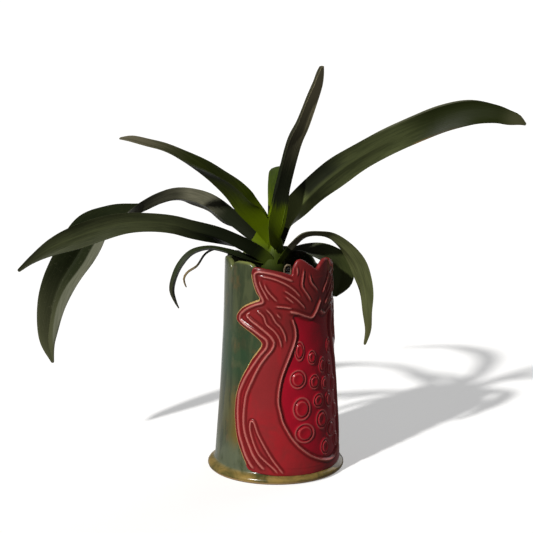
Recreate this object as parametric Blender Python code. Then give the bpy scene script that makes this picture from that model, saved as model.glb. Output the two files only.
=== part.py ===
"""Strap-leaved orchid plant potted in a glazed vase that carries an applied pomegranate."""
import math
import random

import bpy
import bmesh
from mathutils import Vector

for old in list(bpy.data.objects):
    bpy.data.objects.remove(old, do_unlink=True)

MM = 0.001
GAP = 0.3 * MM                 # clearance between pieces that touch

# Vase. Angles run from the front (-Y) towards the right (+X), in degrees.
COLUMNS = 48
STEP = 360.0 / COLUMNS
FOOT_RADIUS = 52.0 * MM
WALL = 4.5 * MM
LEAN = 0.004                   # sideways drift of the axis per unit of height
FLOOR_TOP = 8.0 * MM
PROFILE = ((8.5, 46.4), (60.0, 42.7), (110.0, 40.1), (170.0, 38.6))   # height, outer radius
RIM_LOW = 151.5 * MM           # rim behind the raised crown
RIM_LOBE = (156.5, 160.8, 162.6, 163.0, 161.0)   # one scallop, column by column
RIM_SET = {-22.5: 158.5, 105.0: 155.0, 112.5: 152.0, 120.0: 151.5, 127.5: 153.0, 135.0: 158.5}

# Applied pomegranate.
AXIS = 41.0                    # mirror line of the fruit
SLAB = 2.3 * MM
POCKET = 0.9 * MM              # depth of the opened seed chamber
TABLE = 0.8 * MM               # flat length of one degree in the tables below
DEG = 0.77 * MM                # flat length of one degree of the wall
CROWN_EXTRA = 1.6 * MM         # crown thickens inwards above the rim

BARK_TOP = 147.0 * MM
STEM_BOTTOM = 118.0 * MM
STEM_RX = 9.0 * MM
STEM_RY = 5.5 * MM
STEM_X = -2.0 * MM


def material(name, colour, rough, metallic=0.0):
    mat = bpy.data.materials.new(name)
    mat.use_nodes = True
    shader = mat.node_tree.nodes["Principled BSDF"]
    shader.inputs["Base Color"].default_value = (*colour, 1.0)
    shader.inputs["Roughness"].default_value = rough
    shader.inputs["Metallic"].default_value = metallic
    mat.diffuse_color = (*colour, 1.0)
    return mat


def make_object(name, verts, faces, mat=None):
    mesh = bpy.data.meshes.new(name)
    mesh.from_pydata([tuple(v) for v in verts], [], faces)
    mesh.update()
    obj = bpy.data.objects.new(name, mesh)
    bpy.context.scene.collection.objects.link(obj)
    if mat:
        mesh.materials.append(mat)
    return obj


def outer_radius(z):
    zz = z / MM
    for (z0, r0), (z1, r1) in zip(PROFILE, PROFILE[1:]):
        if zz <= z1 or z1 == PROFILE[-1][0]:
            return (r0 + (r1 - r0) * (zz - z0) / (z1 - z0)) * MM


def place(deg, r, z):
    th = math.radians(deg)
    return Vector((r * math.sin(th) + LEAN * z, -r * math.cos(th), z))


def rim_height(deg):
    d = deg if deg < 142.0 else deg - 360.0
    if -15.5 < d < 98.0:
        return RIM_LOW
    if d in RIM_SET:
        return RIM_SET[d] * MM
    return RIM_LOBE[round((d + 60.0) / STEP) % 5] * MM


def build_vase():
    """Foot disc, floor and tapering scalloped wall as one ring of columns."""
    verts = []
    faces = []
    count = 0
    for c in range(COLUMNS):
        deg = c * STEP
        top = rim_height(deg)
        rings = [(49.5 * MM, 0.0), (51.6 * MM, 1.0 * MM), (FOOT_RADIUS, 2.6 * MM),
                 (51.3 * MM, 4.4 * MM), (49.0 * MM, 5.6 * MM), (47.4 * MM, 6.6 * MM)]
        for z in (8.5 * MM, 60.0 * MM, 110.0 * MM, 140.0 * MM, top - 2.0 * MM):
            rings.append((outer_radius(z), z))
        rings.append((outer_radius(top) - 0.8 * MM, top - 0.5 * MM))
        rings.append((outer_radius(top) - WALL / 2, top))
        rings.append((outer_radius(top) - WALL + 0.8 * MM, top - 0.7 * MM))
        for z in (top - 3.0 * MM, 140.0 * MM, 110.0 * MM, 60.0 * MM, 12.0 * MM):
            rings.append((outer_radius(z) - WALL, z))
        rings.append((outer_radius(9.0 * MM) - WALL - 3.0 * MM, FLOOR_TOP))
        count = len(rings)
        verts += [place(deg, r, z) for r, z in rings]
    base = len(verts)
    verts += [Vector((0, 0, 0)), place(0, 0, FLOOR_TOP)]
    for c in range(COLUMNS):
        n = (c + 1) % COLUMNS
        for k in range(count - 1):
            a, b = c * count + k, n * count + k
            faces.append((a, b, b + 1, a + 1))
        faces.append((base, n * count, c * count))
        faces.append((base + 1, c * count + count - 1, n * count + count - 1))
    mat = material("green_glaze", (0.055, 0.085, 0.055), 0.15)
    return make_object("vase_body", verts, faces, mat)


# Outline of the pomegranate, (angle, height in mm), from the left foot up and over.
LEFT_SIDE = [
    (-23.9, 9.0), (-28.1, 14.6), (-32.3, 21.0), (-36.0, 27.4), (-38.8, 34.6), (-40.7, 41.7),
    (-42.0, 49.6), (-42.1, 56.5), (-41.6, 62.0), (-40.2, 67.4), (-37.9, 73.1), (-34.6, 78.9),
    (-30.0, 85.3), (-24.4, 93.1), (-18.8, 98.9), (-15.1, 103.9), (-16.9, 106.0), (-23.4, 109.9),
    (-30.0, 112.8), (-40.2, 117.1), (-43.6, 119.6), (-44.0, 123.2), (-40.8, 127.1),
    (-36.2, 130.4), (-29.7, 133.2), (-22.2, 135.7), (-18.0, 137.3), (-21.4, 141.4),
    (-24.4, 147.1), (-26.4, 153.0), (-26.0, 157.8), (-23.8, 160.2)]
CROWN_TOP = [
    (-19.4, 160.4), (-10.1, 159.4), (0.1, 158.0), (7.5, 156.8), (12.2, 155.6), (14.6, 155.2),
    (15.4, 158.6), (17.3, 162.4), (20.2, 165.4), (23.3, 166.2), (27.1, 165.5), (31.7, 163.4),
    (37.3, 160.6), (44.6, 157.6), (49.5, 160.8), (55.0, 163.2), (61.5, 163.9), (66.5, 162.2),
    (70.0, 158.8), (72.6, 155.6), (78.5, 156.8), (85.0, 158.0), (93.0, 159.0), (101.0, 158.6)]

# Raised lines: two run beside the outline, the others stroke the sepals.
EDGE_LINE = [
    (-18.4, 10.2), (-22.5, 14.6), (-27.2, 21.0), (-30.4, 27.4), (-33.7, 34.6), (-35.5, 41.7),
    (-36.7, 49.6), (-36.9, 56.7), (-36.0, 66.0), (-33.2, 71.7), (-30.0, 77.4), (-25.3, 83.9),
    (-20.7, 89.6), (-15.1, 96.0), (-9.2, 102.4), (-9.5, 107.0), (-16.0, 110.8), (-23.4, 114.4),
    (-32.7, 118.1), (-38.0, 121.2), (-37.2, 124.5), (-33.4, 127.3), (-28.7, 130.0),
    (-21.3, 132.8), (-13.2, 135.4), (-16.2, 140.7), (-19.4, 145.7), (-21.5, 150.7),
    (-22.0, 155.6), (-18.6, 157.2), (-10.1, 156.8), (0.1, 155.2), (8.5, 152.8), (16.5, 150.2)]
INNER_LINE = [
    (-9.0, 10.2), (-14.1, 14.6), (-19.7, 21.0), (-23.4, 27.4), (-27.2, 34.6), (-29.5, 41.7),
    (-30.2, 49.6), (-29.8, 56.7), (-28.4, 64.6), (-26.0, 70.3), (-23.0, 76.0), (-19.7, 82.0),
    (-15.1, 88.9), (-9.5, 95.3), (-4.2, 100.6), (-2.4, 105.3), (-5.0, 109.4), (-11.0, 113.6),
    (-18.0, 117.6), (-26.5, 122.0), (-29.5, 124.9), (-26.0, 127.0)]
STROKES = [
    [(-20.4, 129.2), (-13.0, 125.2), (-9.5, 118.9), (-3.9, 115.3), (0.7, 111.2), (3.6, 106.0),
     (4.6, 100.5)],
    [(-11.5, 130.8), (-5.5, 126.6), (-1.0, 120.8), (4.0, 116.6), (7.8, 110.4), (8.8, 104.6)],
    [(-1.6, 128.2), (1.4, 125.6), (5.2, 122.4)],
    [(-17.4, 152.2), (-16.2, 148.0), (-12.2, 142.4), (-9.2, 138.6), (-6.4, 135.6)],
    [(-16.4, 154.2), (-8.3, 153.4), (0.1, 151.6), (9.4, 148.2), (16.8, 144.0), (24.3, 137.6)],
    [(-12.6, 149.8), (-11.0, 146.0), (-7.6, 142.3), (-2.8, 138.4), (1.8, 134.9)],
    [(5.7, 144.8), (12.2, 141.3), (18.7, 137.4), (25.2, 132.4), (29.4, 128.6)],
    [(6.6, 140.6), (12.6, 136.9), (17.8, 133.4)],
    [(-2.6, 132.4), (7.5, 131.6), (16.5, 130.2)]]
FRONT_STROKES = [
    [(-19.3, 45.3), (-16.0, 37.4), (-10.4, 28.9), (-3.9, 19.6), (3.2, 11.2)],
    [(-23.8, 44.6), (-21.6, 36.0), (-14.6, 21.9), (-7.4, 16.0), (-1.2, 11.2)],
    [(27.3, 159.6), (25.6, 152.1), (25.3, 146.4), (28.0, 142.8), (31.7, 138.8), (36.0, 133.6)],
    [(19.4, 162.4), (20.2, 156.6), (19.4, 153.2)],
    [(33.4, 155.4), (35.4, 148.6), (41.2, 143.6), (45.0, 140.4)],
    [(50.2, 137.6), (54.0, 142.4), (58.6, 147.0), (62.0, 151.5), (63.6, 156.0)]]
CROWN_EDGE = [
    (11.5, 128.6), (20.5, 126.4), (29.8, 123.4), (36.0, 122.2), (40.5, 125.4), (44.6, 130.6),
    (48.6, 135.4)]
CROWN_EDGE_RIGHT = [(45.5, 127.4), (52.0, 123.6), (61.5, 126.4), (70.5, 128.6)]
CHAMBER = [
    (14.6, 123.6), (16.4, 119.6), (18.0, 115.3), (18.4, 109.6), (16.6, 103.9), (13.8, 98.1),
    (10.5, 91.7), (7.3, 85.3), (4.9, 79.6), (3.1, 73.1), (2.1, 66.7), (2.1, 60.3), (4.0, 53.1),
    (5.9, 46.7), (9.6, 40.3), (14.7, 33.1), (20.3, 27.4), (27.7, 21.7), (35.2, 17.4),
    (44.5, 13.9), (54.5, 12.3), (64.0, 13.6), (72.6, 19.0), (79.0, 30.0), (82.0, 45.0),
    (82.0, 62.0), (79.0, 78.0), (73.0, 92.0), (68.0, 104.0), (66.4, 112.0), (67.6, 119.0),
    (68.6, 124.0)]
CHAMBER_TOP = [(61.5, 126.4), (52.0, 123.6), (45.5, 127.4), (41.0, 125.6), (36.0, 122.2),
               (29.8, 123.4), (20.5, 126.4)]

# Seeds: angle, height in mm, half width in degrees, half height in mm.
SEEDS = [
    (22.1, 98.5, 3.6, 5.5), (35.6, 92.6, 3.6, 4.0), (49.1, 85.0, 3.6, 4.4), (20.3, 77.6, 6.0, 5.2),
    (38.0, 74.0, 4.4, 4.2), (51.5, 71.0, 3.4, 3.4), (23.7, 55.3, 6.5, 6.4), (42.6, 59.2, 4.8, 4.0),
    (58.0, 57.5, 4.4, 4.6), (45.9, 44.4, 5.5, 5.4), (26.2, 36.8, 7.2, 5.4), (59.5, 34.8, 5.6, 4.8),
    (48.8, 23.2, 4.4, 4.5), (60.5, 80.5, 3.6, 4.2), (61.0, 98.0, 3.2, 4.4), (70.5, 67.5, 4.0, 4.6),
    (72.0, 47.0, 4.6, 5.0), (69.0, 24.8, 4.2, 4.0)]


def mirrored(path):
    return [(2 * AXIS - d, z) for d, z in path]


def flat(path):
    return [Vector((d * TABLE, z * MM)) for d, z in path]


def signed_area(ring):
    total = 0.0
    for a, b in zip(ring, ring[1:] + ring[:1]):
        total += a.x * b.y - b.x * a.y
    return total / 2


def inset(ring, amount):
    """Moves every corner of a counter-clockwise ring inwards."""
    result = []
    n = len(ring)
    for i, p in enumerate(ring):
        e0 = (p - ring[i - 1]).normalized()
        e1 = (ring[(i + 1) % n] - p).normalized()
        n0 = Vector((-e0.y, e0.x))
        n1 = Vector((-e1.y, e1.x))
        m = n0 + n1
        if m.length < 0.2:
            m = n0
        m.normalize()
        result.append(p + m * (amount / max(0.55, m.dot(n0))))
    return result


def prism(name, rings):
    """Closed solid through stacked rings given as (points, height)."""
    n = len(rings[0][0])
    verts = []
    faces = []
    for ring, h in rings:
        verts += [(p.x, p.y, h) for p in ring]
    for k in range(len(rings) - 1):
        for i in range(n):
            j = (i + 1) % n
            faces.append((k * n + i, k * n + j, (k + 1) * n + j, (k + 1) * n + i))
    faces.append(tuple(reversed(range(n))))
    faces.append(tuple((len(rings) - 1) * n + i for i in range(n)))
    return make_object(name, verts, faces)


def raised_line(path, width, height, sink, level=SLAB):
    """Low rounded bead swept along a flat path, its ends tapered."""
    pts = flat(path)
    verts = []
    faces = []
    last = len(pts) - 1
    for i, p in enumerate(pts):
        d = (pts[min(i + 1, last)] - pts[max(i - 1, 0)]).normalized()
        side = Vector((-d.y, d.x))
        k = 0.55 if i in (0, last) else 1.0
        w = width * k
        h = height * (0.5 if i in (0, last) else 1.0)
        for s, z in ((-0.5, -sink), (-0.22, h), (0.22, h), (0.5, -sink)):
            q = p + side * (w * s)
            verts.append((q.x, q.y, level + z))
    for i in range(last):
        a = i * 4
        for k in range(4):
            m = (k + 1) % 4
            faces.append((a + k, a + m, a + 4 + m, a + 4 + k))
    faces.append((3, 2, 1, 0))
    faces.append(tuple(last * 4 + k for k in range(4)))
    return make_object("bead", verts, faces)


def seed(d, z, rx, ry):
    """Oval ring with a domed, slightly dimpled heart."""
    level = SLAB - POCKET
    profile = ((1.45, -0.35), (1.27, 0.6), (1.02, 0.2), (0.82, 1.15), (0.46, 0.85))
    count = 12
    verts = []
    faces = []
    for scale, h in profile:
        for i in range(count):
            a = 2 * math.pi * i / count
            verts.append((d * TABLE + rx * TABLE * scale * math.cos(a),
                          z * MM + ry * MM * scale * math.sin(a), level + h * MM))
    verts.append((d * TABLE, z * MM, level + 0.8 * MM))
    for k in range(len(profile) - 1):
        for i in range(count):
            j = (i + 1) % count
            faces.append((k * count + i, k * count + j, (k + 1) * count + j, (k + 1) * count + i))
    top = (len(profile) - 1) * count
    for i in range(count):
        faces.append((top + i, top + (i + 1) % count, len(verts) - 1))
    faces.append(tuple(reversed(range(count))))
    return make_object("seed", verts, faces)


def fix_normals(obj):
    bm = bmesh.new()
    bm.from_mesh(obj.data)
    bmesh.ops.recalc_face_normals(bm, faces=bm.faces)
    bm.to_mesh(obj.data)
    bm.free()


def apply_boolean(target, operation, tools, solver="EXACT"):
    """One Boolean of the target with every tool, then the tools are removed."""
    group = bpy.data.collections.new("operands")
    bpy.context.scene.collection.children.link(group)
    for tool in tools:
        fix_normals(tool)
        bpy.context.scene.collection.objects.unlink(tool)
        group.objects.link(tool)
    mod = target.modifiers.new("join", "BOOLEAN")
    mod.operation = operation
    mod.operand_type = "COLLECTION"
    mod.collection = group
    mod.solver = solver
    bpy.context.view_layer.objects.active = target
    bpy.ops.object.modifier_apply(modifier=mod.name)
    for tool in tools:
        bpy.data.objects.remove(tool, do_unlink=True)
    bpy.data.collections.remove(group)


def tidy(obj, dist=0.0000005):
    bm = bmesh.new()
    bm.from_mesh(obj.data)
    bmesh.ops.remove_doubles(bm, verts=bm.verts, dist=dist)
    bmesh.ops.dissolve_degenerate(bm, edges=bm.edges, dist=dist)
    bmesh.ops.triangulate(bm, faces=bm.faces)
    bmesh.ops.recalc_face_normals(bm, faces=bm.faces)
    bm.to_mesh(obj.data)
    bm.free()


def clamp01(x):
    return max(0.0, min(1.0, x))


def build_relief():
    """The fruit is worked flat, cut at the wall columns and wrapped round the wall."""
    outline = LEFT_SIDE + CROWN_TOP + list(reversed(mirrored(LEFT_SIDE[:-1])))
    ring = flat(outline)
    if signed_area(ring) < 0:
        ring.reverse()
    slab = prism("pomegranate_relief", [
        (ring, 0.0), (ring, SLAB - 0.7 * MM), (inset(ring, 0.6 * MM), SLAB)])
    fix_normals(slab)
    well = flat(CHAMBER + CHAMBER_TOP)
    if signed_area(well) < 0:
        well.reverse()
    apply_boolean(slab, "DIFFERENCE", [prism("well", [(well, SLAB - POCKET), (well, SLAB + 2 * MM)])])
    beads = []
    for path in (EDGE_LINE, INNER_LINE):
        beads.append(raised_line(path, 2.3 * MM, 0.9 * MM, 0.4 * MM))
        beads.append(raised_line(mirrored(path), 2.3 * MM, 0.9 * MM, 0.4 * MM))
    for path in STROKES:
        beads.append(raised_line(path, 1.7 * MM, 0.7 * MM, 0.4 * MM))
        beads.append(raised_line(mirrored(path), 1.7 * MM, 0.7 * MM, 0.4 * MM))
    for path in FRONT_STROKES:
        beads.append(raised_line(path, 1.7 * MM, 0.7 * MM, 0.4 * MM))
    beads.append(raised_line(CROWN_EDGE, 2.6 * MM, 0.9 * MM, 1.3 * MM))
    beads.append(raised_line(CROWN_EDGE_RIGHT, 2.6 * MM, 0.9 * MM, 1.3 * MM))
    beads.append(raised_line(CHAMBER, 2.2 * MM, 0.9 * MM, 1.3 * MM))
    beads += [seed(*s) for s in SEEDS]
    apply_boolean(slab, "UNION", beads)

    bm = bmesh.new()
    bm.from_mesh(slab.data)
    bmesh.ops.remove_doubles(bm, verts=bm.verts, dist=0.00002)
    for c in range(int(-52.5 / STEP), int(142.5 / STEP) + 1):
        geom = list(bm.verts) + list(bm.edges) + list(bm.faces)
        bmesh.ops.bisect_plane(bm, geom=geom, dist=0.00002, plane_co=(c * STEP * DEG, 0, 0),
                               plane_no=(1, 0, 0))
    for z in (60.0, 110.0, 152.2, 153.0):
        geom = list(bm.verts) + list(bm.edges) + list(bm.faces)
        bmesh.ops.bisect_plane(bm, geom=geom, dist=0.00002, plane_co=(0, z * MM, 0),
                               plane_no=(0, 1, 0))
    bmesh.ops.triangulate(bm, faces=bm.faces)
    bmesh.ops.remove_doubles(bm, verts=bm.verts, dist=0.00002)
    bmesh.ops.dissolve_degenerate(bm, edges=bm.edges, dist=0.00002)
    bmesh.ops.triangulate(bm, faces=bm.faces)
    for v in bm.verts:
        d, z, h = v.co.x / DEG, v.co.y, v.co.z
        r = outer_radius(z) + GAP + h
        if h < 0.01 * MM:
            grow = clamp01((d + 15.0) / STEP) * clamp01((97.5 - d) / STEP)
            r -= CROWN_EXTRA * grow * clamp01((z - 152.2 * MM) / (0.8 * MM))
        v.co = place(d, r, z)
    bmesh.ops.recalc_face_normals(bm, faces=bm.faces)
    bm.to_mesh(slab.data)
    bm.free()
    slab.data.materials.clear()
    slab.data.materials.append(material("red_glaze", (0.26, 0.012, 0.02), 0.15))
    return slab


# Leaves. Stations: keel x, y, z in mm, full width in mm, roll and fold in degrees.
# A positive roll turns the upper face to the front. Side is -1 on the left, 1 on the right.
LEAVES = {
    "leaf_a": (1, 25.0, [
        (3, -3, 162, 16, 4, 30), (7, -6, 178, 22, 5, 45), (9, -7, 194, 26, 5, 55),
        (10.5, -8, 214, 24, 6, 60), (18, -9, 244, 24, 6, 60), (24, -10, 259, 22, 6, 58),
        (30, -11, 277, 19, 5, 55), (33.5, -12, 289, 16, 5, 50), (34.5, -12, 297, 12, 5, 45),
        (34.5, -13, 302, 5, 5, 40)]),
    "leaf_b": (1, 20.0, [
        (-1, 3, 168, 9, -5, 32), (-0.5, 12, 184, 12, -8, 32), (1, 25, 199, 15, -12, 32),
        (2.5, 41, 210, 17, -20, 30), (4, 60, 216.5, 18, -28, 28), (5, 84, 215, 18, -28, 28),
        (5, 111, 206, 18, -25, 28), (4, 137, 193, 16.5, -20, 30), (2.5, 161, 177, 14, -15, 30),
        (0, 183, 158, 9, -10, 30), (-2, 201, 141, 3, -10, 30)]),
    "leaf_c": (1, 26.0, [
        (0, 1, 158, 18, -15, 45), (6, 3, 170, 27, -25, 45), (13, 4, 188, 28, -50, 32),
        (23, 4, 204, 22.1, -70, 20), (42, 1, 221, 22.6, -75, 16), (60, -2, 234, 20.5, -76, 15),
        (81, -4, 247, 20.1, -80, 18), (104, -6, 259, 20.5, -90, 22), (123, -8, 267, 21, -103, 28),
        (141, -10, 271, 20.5, -110, 32), (158, -12, 270, 14.8, -114, 34),
        (168, -13, 267, 12, -114, 34), (175, -14, 265, 8.5, -114, 34),
        (180, -14, 262, 2.5, -114, 34)]),
    "leaf_d": (-1, 24.0, [
        (-2, -1, 160, 20, 0, 50), (-8, -2, 173, 26, 0, 55), (-17, -5, 187, 34, 3, 58),
        (-28, -9, 197, 39, 4, 58), (-36.7, -13, 208.6, 34.6, 6, 54),
        (-46.4, -16, 218.2, 28.6, 10, 48), (-56, -19, 226.8, 23.1, 18, 44),
        (-68.6, -21, 236, 16.1, 30, 42), (-81, -23, 243.4, 11.7, 38, 40),
        (-93.4, -24, 247.6, 9.7, 42, 38), (-104, -24, 250.7, 7.8, 44, 36),
        (-111.6, -24, 251.8, 3, 44, 36)]),
    "leaf_e": (-1, 26.0, [
        (-3, 4, 152, 18, -10, 45), (-12, 8, 165, 24, -20, 46), (-25, 15, 175, 27, -32, 42),
        (-39.5, 28, 183, 27.4, -48, 34), (-55.5, 45, 193, 22, -60, 28),
        (-74, 62, 195.4, 18.8, -58, 28), (-89.4, 74, 190.5, 19.5, -40, 32),
        (-109, 80, 181, 21.8, 0, 40), (-129, 78, 176, 25.4, 35, 32),
        (-144, 72, 165.6, 38, 55, 26), (-154, 63, 149, 42, 62, 24),
        (-165, 53, 130, 36.4, 64, 24), (-172, 42, 110, 25.8, 62, 24),
        (-174.6, 35, 89.4, 13.4, 60, 24), (-174, 31, 74.7, 3, 60, 24)]),
    "leaf_f": (-1, 20.0, [
        (-3, -2, 152, 14, -20, 45), (-12, -5, 159, 20, -30, 42), (-26, -10, 168, 21, -45, 36),
        (-43, -13, 177, 18, -62, 26), (-61, -15, 182, 16.4, -68, 20),
        (-75, -18, 187, 15.2, -70, 20), (-92, -21, 189, 15.8, -70, 20),
        (-110, -24, 189, 17.6, -70, 20), (-129, -27, 185, 20, -70, 20),
        (-146, -30, 180, 20, -68, 20), (-162, -32, 174, 14.3, -66, 20),
        (-176, -34, 166, 6.5, -64, 20), (-186, -35, 158, 2.5, -64, 20)]),
    "leaf_g": (-1, 15.0, [
        (-3, 0, 152, 9, 10, 45), (-14, -1, 155.5, 10, 15, 45), (-26, -3, 160, 9.5, 18, 42),
        (-39, -6, 165.6, 8, 15, 40), (-50, -9, 168, 7.5, 12, 40), (-61, -12, 165, 9.5, 16, 40),
        (-68.5, -14, 157, 10.5, 20, 40), (-73, -15, 148, 10, 22, 40), (-75, -16, 139, 9, 22, 40),
        (-73.5, -16, 131, 5, 22, 40), (-72, -16.5, 127, 2.5, 22, 40)]),
    "leaf_h": (-1, 15.0, [
        (-3, 4, 152, 6, 10, 30), (-14, 7, 156.5, 6, 10, 30), (-27, 10, 161, 5, 10, 30),
        (-38, 11, 164, 4.5, 10, 30), (-46, 12, 164, 4.2, 10, 30), (-53, 13, 160, 4.2, 10, 30),
        (-59, 14, 151, 4.2, 10, 30), (-66, 15, 146, 4.2, 10, 30), (-69, 16, 141, 4.2, 10, 30),
        (-68, 16, 136, 3, 10, 30)]),
    "leaf_i": (1, 18.0, [
        (1, -3, 153, 9, -5, 45), (7, -5, 160, 12, -5, 45), (14, -5, 169, 13, -8, 42),
        (22.3, -2, 176, 12.5, -8, 38), (32.7, 2, 176.5, 11.2, -14, 34),
        (41.2, 6, 173.2, 12.8, -35, 30), (51.7, 8, 165, 14.4, -52, 26),
        (60, 9, 154.3, 15.9, -60, 24), (64.4, 9, 143.5, 15.5, -62, 24),
        (67.6, 9, 130.6, 13, -62, 24), (68.7, 9, 117, 8.9, -62, 24),
        (69.8, 9, 103.2, 5.8, -62, 24), (67.8, 9, 92.6, 2.6, -62, 24)]),
    "leaf_j": (1, 18.0, [
        (0, 3, 152, 10, -5, 45), (7, 6, 156, 14, -10, 45), (16, 10, 160, 16, -20, 40),
        (25, 13, 161, 16, -35, 34), (34, 16, 159, 14.5, -45, 30), (41, 20, 155, 16.5, -52, 26),
        (47, 24, 151, 18.5, -58, 22), (51, 27, 145, 20, -60, 22), (52, 29, 138, 18, -60, 22),
        (50, 31, 131, 10, -60, 22), (47, 32, 126, 3.5, -60, 22)]),
}
MARGIN_TOWARDS = {"leaf_b": Vector((1, 0, 0))}   # that leaf arches straight back
STATION_STEP = 12.0            # length of one blade segment in mm
KEEL_THICK = 1.7 * MM
MARGIN_THICK = 0.85 * MM


def spline(stations, step):
    """Resamples a station table at even lengths along a smooth curve."""
    pts = [list(map(float, s)) for s in stations]
    fine = []
    for i in range(len(pts) - 1):
        p0 = pts[max(i - 1, 0)]
        p1, p2 = pts[i], pts[i + 1]
        p3 = pts[min(i + 2, len(pts) - 1)]
        for k in range(12):
            t = k / 12.0
            fine.append([0.5 * (2 * b + (c - a) * t + (2 * a - 5 * b + 4 * c - d) * t * t
                                + (3 * b - a - 3 * c + d) * t ** 3)
                         for a, b, c, d in zip(p0, p1, p2, p3)])
    fine.append(pts[-1])
    length = [0.0]
    for a, b in zip(fine, fine[1:]):
        length.append(length[-1] + math.dist(a[:3], b[:3]))

    def at(s):
        s = max(0.0, min(length[-1], s))
        for i in range(len(fine) - 1):
            if length[i + 1] >= s:
                f = (s - length[i]) / max(1e-9, length[i + 1] - length[i])
                return [a + (b - a) * f for a, b in zip(fine[i], fine[i + 1])]
        return fine[-1]
    return at, length[-1]


def section(at, s, side, towards, thicker=1.0):
    """Ring of ten points: five on the upper face, five on the lower."""
    x, y, z, w, roll, fold = at(s)
    before, after = at(s - 2.0), at(s + 2.0)
    t = (Vector(after[:3]) - Vector(before[:3])).normalized()
    a0 = (towards - t * towards.dot(t)).normalized()
    n0 = t.cross(a0) if side < 0 else a0.cross(t)
    r, f = math.radians(roll), math.radians(fold)
    n = n0 * math.cos(r) + a0 * math.sin(r)
    a = a0 * math.cos(r) - n0 * math.sin(r)
    p = Vector((x, y, z)) * MM
    half = w * MM / 2
    upper = []
    lower = []
    for k in (-1.0, -0.5, 0.0, 0.5, 1.0):
        sign = (k > 0) - (k < 0)
        along = a * (k * half * math.cos(f)) + n * (abs(k) * half * math.sin(f))
        normal = n * math.cos(f) - a * (sign * math.sin(f))
        thick = KEEL_THICK + (MARGIN_THICK - KEEL_THICK) * abs(k)
        thick = (0.25 + 0.75 * min(1.0, half / (6 * MM))) * thick if k == 0 else thick
        thick = max(thick, 0.8 * MM) * thicker
        if sign == 0:
            normal = n / max(0.62, math.cos(f))
        upper.append(p + along + normal * thick)
        lower.append(p + along)
    return upper + list(reversed(lower))


def loft(name, rings, mat=None):
    """Closed blade, its two faces split along matching diagonals."""
    n = len(rings[0])
    half = n // 2
    verts = [v for ring in rings for v in ring]
    faces = []
    for k in range(len(rings) - 1):
        for i in range(n):
            j = (i + 1) % n
            a, b = k * n + i, k * n + j
            c, d = a + n, b + n
            if i < half - 1 or i == n - 1:
                faces += [(a, b, d), (a, d, c)]
            else:
                faces += [(a, b, c), (b, d, c)]
    for k, flip in ((0, False), (len(rings) - 1, True)):
        for i in range(half - 1):
            quad = (k * n + i, k * n + n - 1 - i, k * n + n - 2 - i, k * n + i + 1)
            if flip:
                quad = tuple(reversed(quad))
            faces += [(quad[0], quad[1], quad[2]), (quad[0], quad[2], quad[3])]
    obj = make_object(name, verts, faces, mat)
    fix_normals(obj)
    return obj


def build_leaf(name, mat):
    """Returns the blade and the sheath it is jointed on."""
    side, joint, stations = LEAVES[name]
    towards = MARGIN_TOWARDS.get(name, Vector((0, -1, 0)))
    at, total = spline(stations, STATION_STEP)
    start = joint + GAP / MM
    count = max(5, round((total - start) / STATION_STEP))
    blade = [section(at, start + (total - start) * i / count, side, towards)
             for i in range(count + 1)]
    sheath = [section(at, joint * i / 3, side, towards, 1.25) for i in range(4)]
    return loft(name, blade, mat), loft(name + "_sheath", sheath)


def ellipse_ring(rx, ry, z, cx=STEM_X, count=16):
    return [Vector((cx + rx * math.cos(2 * math.pi * i / count),
                    ry * math.sin(2 * math.pi * i / count), z)) for i in range(count)]


def stack(name, rings):
    n = len(rings[0])
    verts = [v for ring in rings for v in ring]
    faces = [tuple(reversed(range(n))), tuple((len(rings) - 1) * n + i for i in range(n))]
    for k in range(len(rings) - 1):
        for i in range(n):
            j = (i + 1) % n
            faces.append((k * n + i, k * n + j, (k + 1) * n + j, (k + 1) * n + i))
    obj = make_object(name, verts, faces)
    fix_normals(obj)
    return obj


def build_stem(sheaths):
    stem = stack("stem", [
        ellipse_ring(STEM_RX, STEM_RY, STEM_BOTTOM), ellipse_ring(STEM_RX, STEM_RY, 148 * MM),
        ellipse_ring(9.8 * MM, 6.4 * MM, 151 * MM), ellipse_ring(9.6 * MM, 6.6 * MM, 163 * MM),
        ellipse_ring(8.6 * MM, 6.2 * MM, 172 * MM, -1 * MM),
        ellipse_ring(5.8 * MM, 4.8 * MM, 179 * MM, 0.0),
        ellipse_ring(2.6 * MM, 2.2 * MM, 182.5 * MM, 0.5 * MM)])
    apply_boolean(stem, "UNION", sheaths, "MANIFOLD")
    tidy(stem)
    stem.data.materials.clear()
    stem.data.materials.append(material("sheath_green", (0.16, 0.26, 0.03), 0.5))
    return stem


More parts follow.
